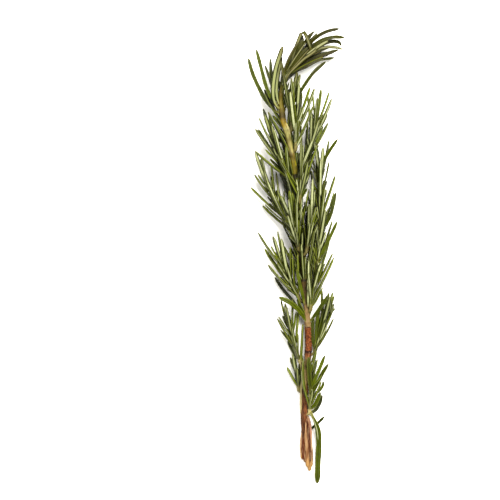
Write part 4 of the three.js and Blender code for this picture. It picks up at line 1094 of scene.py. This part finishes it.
class Shader:
    """A principled material, short ways to wire its nodes, and its skin: the colour laid on so far."""

    def __init__(self, name, roughness, **sockets):
        self.material = bpy.data.materials.new(name)
        self.material.use_nodes = True
        self.tree = self.material.node_tree
        self.principled = self.tree.nodes["Principled BSDF"]
        self.principled.inputs["Roughness"].default_value = roughness
        for socket, value in sockets.items():
            self.principled.inputs[socket.replace("_", " ")].default_value = value
        self.skin = None

    def link(self, value, socket):
        if isinstance(value, bpy.types.NodeSocket):
            self.tree.links.new(value, socket)
        else:
            socket.default_value = value

    def node(self, kind, inputs, **settings):
        """The outputs of a new node. Its inputs are linked or set, by name or number."""
        node = self.tree.nodes.new("ShaderNode" + kind)
        for setting, value in settings.items():
            setattr(node, setting, value)
        for socket, value in inputs.items():
            self.link(value, node.inputs[socket])
        return node.outputs

    def parts(self, vector):
        """The three numbers of a vector."""
        return self.node("SeparateXYZ", {0: vector})

    def attribute(self, name):
        """The three numbers of a mesh attribute."""
        return self.parts(self.node("Attribute", {}, attribute_name=name)["Vector"])

    def math(self, operation, a, b=0.0):
        return self.node("Math", {0: a, 1: b}, operation=operation)[0]

    def times(self, a, b):
        return self.math("MULTIPLY", a, b)

    def ramp(self, value, low, high, start=0.0, end=1.0, kind="SMOOTHSTEP"):
        """A value carried smoothly from one range to another."""
        span = dict(enumerate((value, low, high, start, end)))
        return self.node("MapRange", span, interpolation_type=kind)[0]

    def between(self, value, low, rise, fall, high):
        """1 from rise to fall, 0 below low and above high."""
        return self.times(self.ramp(value, low, rise), self.ramp(value, fall, high, 1, 0))

    def mix(self, share, a, b):
        """Two colours mixed."""
        return self.node("Mix", {"Factor": share, 6: colour(a), 7: colour(b)}, data_type="RGBA")[2]

    def coat(self, paint, value, *span):
        """Lays a colour on the skin, as strongly as a value says, or the value's ramp over a span."""
        self.skin = self.mix(self.ramp(value, *span) if span else value, self.skin, paint)

    def place(self):
        """A place on the object, in metres."""
        return self.node("TexCoord", {})["Object"]

    def stretch(self, place, scale):
        """A place scaled differently along each axis."""
        return self.node("Mapping", {"Vector": place, "Scale": scale})[0]

    def noise(self, place, scale, detail=3.0):
        return self.node("TexNoise", {"Vector": place, "Scale": scale, "Detail": detail})["Fac"]

    def cells(self, place, scale):
        return self.node("TexVoronoi", {"Vector": place, "Scale": scale})["Distance"]

    def bands(self, value, stops):
        """Colours along a value: (value, colour) pairs blended evenly from one to the next."""
        low, high = stops[0][0], stops[-1][0]
        node = self.tree.nodes.new("ShaderNodeValToRGB")
        self.link(self.ramp(value, low, high, kind="LINEAR"), node.inputs[0])
        places = node.color_ramp.elements
        for _ in stops[2:]:
            places.new(0.5)
        for place, (at, shade) in zip(places, stops):
            place.position = (at - low) / (high - low)
            place.color = colour(shade)
        return node.outputs[0]

    def bump(self, height, strength, distance):
        normal = self.node("Bump", {"Height": height, "Strength": strength, "Distance": distance})[0]
        self.link(normal, self.principled.inputs["Normal"])

    def finish(self):
        self.link(self.skin, self.principled.inputs["Base Color"])
        return self.material


LIGHT = 1.7  # strength of the light: colours are picked for 1, and the floor's shadows fade with it


def colour(value, light=LIGHT):
    """A linear colour from sRGB numbers of 0 to 255, or a socket as it is."""
    if isinstance(value, bpy.types.NodeSocket):
        return value
    return tuple((number / 255) ** 2.2 / light for number in value) + (1.0,)


def tip_share(shader, place):
    """How much of the drooping tip's brownish tint a place has."""
    across, up, _ = shader.parts(place)
    return shader.times(shader.ramp(up, 0.074, 0.084), shader.ramp(across, -0.010, -0.006))


def leaf_upper_material():
    """The smooth upper face and the rolled margins."""
    shader = Shader("leaf_upper", 0.3, Specular_IOR_Level=0.1)
    u, t, openness = shader.attribute("leaf_shape")
    tone, young, height = shader.attribute("leaf_growth")
    place = shader.place()
    side = shader.math("ABSOLUTE", u)
    shader.skin = shader.mix(tone, (42, 48, 0), (94, 106, 16))
    shader.coat((112, 124, 30), young, 0.75, 1.0, 0, 0.7)
    shader.coat((36, 40, 2), shader.noise(place, 420), 0.42, 0.7, 0, 0.4)
    shader.coat((28, 33, 0), side, 0.0, 0.14, 0.6, 0.0)  # the groove, darkened as painted shade
    # painted highlight along the tops of the rolled margins
    painted_margin_highlight = shader.times(shader.ramp(side, 0.8, 0.98), shader.ramp(height, -0.4, 0.1, 0.0, 0.65))
    shader.coat((132, 138, 60), painted_margin_highlight)
    shader.coat((32, 38, 0), height, -0.55, -0.25, 0.7, 0.0)
    shader.coat((132, 128, 64), t, 0.02, 0.2, 0.75, 0.0)  # the root
    shader.coat((52, 48, 6), shader.times(tip_share(shader, place), 0.6))
    shader.coat((100, 92, 28), shader.times(shader.ramp(t, 0.94, 1.0), tone))  # the end
    # painted shade: darker where leaves above hide the sky
    shader.coat((7, 9, 0), openness, 0.08, 0.9, 0.94, 0.0)
    shader.bump(shader.cells(place, 2600), 0.3, 0.0001)
    return shader.finish()


def leaf_felt_material():
    """The pale felt under the leaf, between its rolled margins, and the midrib through it."""
    shader = Shader("leaf_felt", 0.9, Specular_IOR_Level=0.05, Sheen_Weight=0.05, Sheen_Roughness=0.6)
    u, t, openness = shader.attribute("leaf_shape")
    tone, _, _ = shader.attribute("leaf_growth")
    place = shader.place()
    shader.skin = shader.mix(tone, (132, 138, 86), (194, 199, 154))
    shader.coat((110, 114, 58), shader.noise(place, 1500), 0.35, 0.7, 0, 0.3)
    shader.coat((112, 116, 48), shader.math("ABSOLUTE", u), 0.03, 0.14, 0.5, 0.0)  # the midrib
    shader.coat((146, 140, 84), t, 0.02, 0.2, 0.7, 0.0)  # the root
    shader.coat((92, 84, 52), shader.times(tip_share(shader, place), shader.ramp(tone, 0, 1, 0.95, 0.45)))
    # painted shade: darker where leaves above hide the sky
    shader.coat((16, 19, 0), openness, 0.1, 0.95, 0.92, 0.0)
    shader.bump(shader.noise(place, 5200, 2.0), 0.5, 0.00015)
    return shader.finish()


# colours up the green stem: tan above the bark, brown, dark olive; golden, pale and dark round a node, and
# again round the next; a dark swelling where the tip bends away; then olive
GREEN_STEM_COLOURS = [
    (-0.032, (138, 112, 76)), (-0.008, (92, 74, 40)), (0.0368, (56, 50, 14)),
    (0.041, (238, 218, 48)), (0.045, (112, 94, 30)), (0.0475, (162, 152, 84)), (0.053, (110, 104, 46)),
    (0.0567, (162, 156, 92)), (0.0597, (140, 116, 10)), (0.0632, (52, 40, 8)),
    (0.067, (116, 104, 28)), (0.087, (96, 86, 36)),
]
STEM_SLOPE = 0.36  # how far it leans to the left there: its left edge gets painted shade, its right one a pale painted highlight


def green_stem_material():
    """The young main stem, streaked and ringed at its nodes."""
    shader = Shader("green_stem", 0.5, Specular_IOR_Level=0.12)
    up, node, openness = shader.attribute("stem_place")
    place = shader.place()
    up = shader.math("ADD", up, shader.ramp(shader.noise(place, 500, 2.0), 0.3, 0.7, -0.0007, 0.0007))
    shader.skin = shader.bands(up, GREEN_STEM_COLOURS)
    streaks = shader.noise(shader.stretch(place, (1, 0.12, 1)), 2200, 4.0)
    shader.coat((62, 46, 8), streaks, 0.47, 0.62, 0, 0.5)
    shader.coat((176, 164, 104), shader.noise(place, 2400, 3.0), 0.58, 0.72, 0, 0.18)
    across, level, _ = shader.parts(place)
    edge = shader.math("ADD", across, shader.times(level, STEM_SLOPE))
    # painted shade down the stem's left edge, where it shows between the leaves
    painted_shade_left = shader.times(shader.ramp(edge, 0.0138, 0.0148, 0.7, 0), shader.ramp(level, 0.036, 0.040))
    shader.coat((40, 32, 6), shader.times(painted_shade_left, shader.ramp(level, 0.060, 0.064, 1, 0)))
    # painted highlight down the stem's right edge
    right_edge = shader.ramp(edge, 0.0162, 0.0168)
    pale = shader.times(right_edge, shader.between(level, 0.053, 0.055, 0.0594, 0.0604))
    shader.coat((228, 214, 146), pale)
    shader.coat((84, 64, 28), node, 0.2, 0.9, 0, 0.3)
    # painted shade: darker where leaves above hide the sky
    shader.coat((26, 22, 4), openness, 0.05, 0.8, 0.85, 0.0)
    shader.bump(streaks, 0.5, 0.0002)
    return shader.finish()


def side_stem_material(name, foot):
    """The thin stem of a side shoot: green at its tip."""
    shader = Shader(name, 0.55, Specular_IOR_Level=0.3)
    along, node, openness = shader.attribute("stem_place")
    streaks = shader.noise(shader.stretch(shader.place(), (1, 0.2, 1)), 2600, 3.0)
    shader.skin = shader.mix(shader.ramp(along, -0.1, 0.6), foot, (108, 114, 48))
    shader.coat((80, 70, 28), streaks, 0.45, 0.7, 0, 0.5)
    shader.coat((88, 72, 32), node, 0.3, 0.9, 0, 0.4)
    # painted shade: darker where leaves above hide the sky
    shader.coat((24, 24, 4), openness, 0.05, 0.9, 0.85, 0.0)
    shader.bump(streaks, 0.4, 0.0002)
    return shader.finish()


BARK_RINGS = [(-0.0440, -0.0430, -0.0426, -0.0418), (-0.0320, -0.0316, -0.0312, -0.0308)]


def bark_material():
    """Brown bark, red-brown where it has flaked below the green stem, and worn pale between the two."""
    shader = Shader("bark", 0.85, Specular_IOR_Level=0.15)
    up, _, openness = shader.attribute("stem_place")
    place = shader.place()
    fibres = shader.noise(shader.stretch(place, (1, 0.12, 1)), 1900, 5.0)
    flakes = shader.noise(shader.stretch(place, (1, 0.7, 1)), 2100, 4.0)
    brown = shader.mix(shader.ramp(fibres, 0.38, 0.60), (64, 34, 12), (144, 88, 50))
    red = shader.mix(shader.ramp(flakes, 0.38, 0.6), (62, 26, 10), (138, 76, 38))
    shader.skin = shader.mix(shader.ramp(up, -0.0435, -0.0425), brown, red)
    for ring in BARK_RINGS:
        shader.coat((46, 22, 8), shader.between(up, *ring))
    flecks = shader.times(shader.ramp(flakes, 0.56, 0.68), shader.ramp(fibres, 0.45, 0.6))
    shader.coat((170, 140, 106), flecks)
    shader.coat((44, 24, 10), shader.parts(place)[0], 0.0030, 0.0046, 0.6, 0.0)  # painted shade: its left side darker
    worn = shader.between(up, -0.0600, -0.0560, -0.0470, -0.0445)
    shader.coat((172, 152, 94), shader.times(worn, shader.ramp(fibres, 0.38, 0.6, 0.5, 0.9)))
    # painted shade: darker where leaves above hide the sky
    shader.coat((24, 14, 4), openness, 0.05, 0.8, 0.7, 0.0)
    shader.bump(shader.math("ADD", fibres, flakes), 0.9, 0.0004)
    return shader.finish()


# torn wood, by how light a strand is: red-brown, tan, orange-tan, pale
TORN_WOOD_COLOURS = [(0.0, (70, 26, 2)), (0.4, (108, 74, 42)), (0.65, (156, 116, 76)), (1.0, (196, 162, 128))]


def torn_wood_material():
    """Torn wood: long fibres, paler at the ragged end, pinkish where the heel parts from the stem."""
    shader = Shader("torn_wood", 0.85, Specular_IOR_Level=0.15)
    along, tone, _ = shader.attribute("stem_place")
    place = shader.place()
    fibres = shader.noise(shader.stretch(place, (1, 0.07, 1)), 1500, 4.0)
    threads = shader.noise(shader.stretch(place, (1, 0.05, 1)), 3200, 3.0)
    shader.skin = shader.bands(tone, TORN_WOOD_COLOURS)
    shader.coat((92, 42, 8), fibres, 0.48, 0.55, 0.0, 0.8)
    shader.coat((206, 170, 128), threads, 0.52, 0.62, 0.0, 0.7)
    pink = shader.between(along, 0.1, 0.16, 0.4, 0.55)
    shader.coat((184, 130, 106), shader.times(pink, shader.ramp(tone, 0.66, 0.82, 0.0, 0.7)))
    shader.coat((96, 62, 34), along, 0.02, 0.1, 0.8, 0.0)
    end_tint = shader.times(shader.ramp(along, 0.78, 0.97), shader.ramp(tone, 0.4, 0.6, 0.0, 0.6))
    shader.coat((186, 142, 78), end_tint)
    shader.bump(shader.math("ADD", fibres, threads), 1.0, 0.0004)
    return shader.finish()


# ======== The studio ========

PIXEL = 0.45  # millimetres of the sprig to a pixel of the picture
PICTURE = 500  # pixels on a side
ORIGIN_PIXEL = (297, 257)  # where the sprig's own origin falls
LENS = 90
SENSOR = 36
STEM_HEIGHT = 7  # the height at which a pixel has that size
FLOOR_HALF = 1.5  # in metres, as the lights' places are


def make_camera():
    """A long lens straight above the middle of the picture."""
    data = bpy.data.cameras.new("camera")
    data.lens = LENS
    data.sensor_width = SENSOR
    x = (PICTURE / 2 - ORIGIN_PIXEL[0]) * PIXEL
    y = (ORIGIN_PIXEL[1] - PICTURE / 2) * PIXEL
    distance = PICTURE * PIXEL * LENS / SENSOR
    camera = add_object("camera", data)
    camera.location = (x * MM, y * MM, (distance + STEM_HEIGHT) * MM)
    bpy.context.scene.camera = camera


def make_floor():
    """A plain pale surface."""
    mesh = bpy.data.meshes.new("floor")
    corners = [(x * FLOOR_HALF, y * FLOOR_HALF, 0) for x, y in ((-1, -1), (1, -1), (1, 1), (-1, 1))]
    mesh.from_pydata(corners, [], [(0, 1, 2, 3)])
    shader = Shader("floor", 0.9, Specular_IOR_Level=0.1)
    shader.skin = colour((250, 250, 248), light=1)
    mesh.materials.append(shader.finish())
    floor = add_object("floor", mesh)


def area_light(name, place, size, power):
    """A square soft light that faces the sprig."""
    data = bpy.data.lights.new(name, "AREA")
    data.color = (1, 0.97, 0.9)
    data.size = size
    data.energy = power * LIGHT
    light = add_object(name, data)
    light.location = place
    x, y, z = place
    light.rotation_euler = (0, math.atan2(math.hypot(x, y), z), math.atan2(y, x))


def make_studio():
    """A pale world, a key light from the upper right and a weaker one from the left."""
    world = bpy.data.worlds.new("world")
    bpy.context.scene.world = world
    world.use_nodes = True
    background = world.node_tree.nodes["Background"].inputs
    background["Color"].default_value = (1, 0.98, 0.93, 1)
    background["Strength"].default_value = 0.3 * LIGHT
    area_light("key", (0.2, 0.32, 0.66), 0.42, 12.0)
    area_light("fill", (-0.5, -0.1, 0.6), 0.6, 3.0)
    bpy.context.scene.view_settings.view_transform = "Standard"


# ======== The sprig ========

PALE_SHOOTS = ("side_shoot_01", "side_shoot_03")


def make_sprig():
    shoots = lay_out_sprig()
    canopy = Canopy(shoots)
    draw = make_draw(GROWTH_SEED + 1)
    leaf_materials = [leaf_upper_material(), leaf_felt_material()]
    make_bark_stem(canopy, bark_material())
    torn_wood = torn_wood_material()
    make_strands(torn_wood)
    make_splinters(torn_wood)
    make_main_stem(canopy, green_stem_material())
    side_material = side_stem_material("side_stem", (124, 114, 62))
    pale_material = side_stem_material("side_stem_pale", (172, 158, 104))
    for name, shoot in shoots.items():
        make_leaves(shoot, draw, canopy, leaf_materials)
        if name != "main_shoot":
            make_side_stem(shoot, canopy, pale_material if name in PALE_SHOOTS else side_material)


make_camera()
make_floor()
make_studio()
make_sprig()
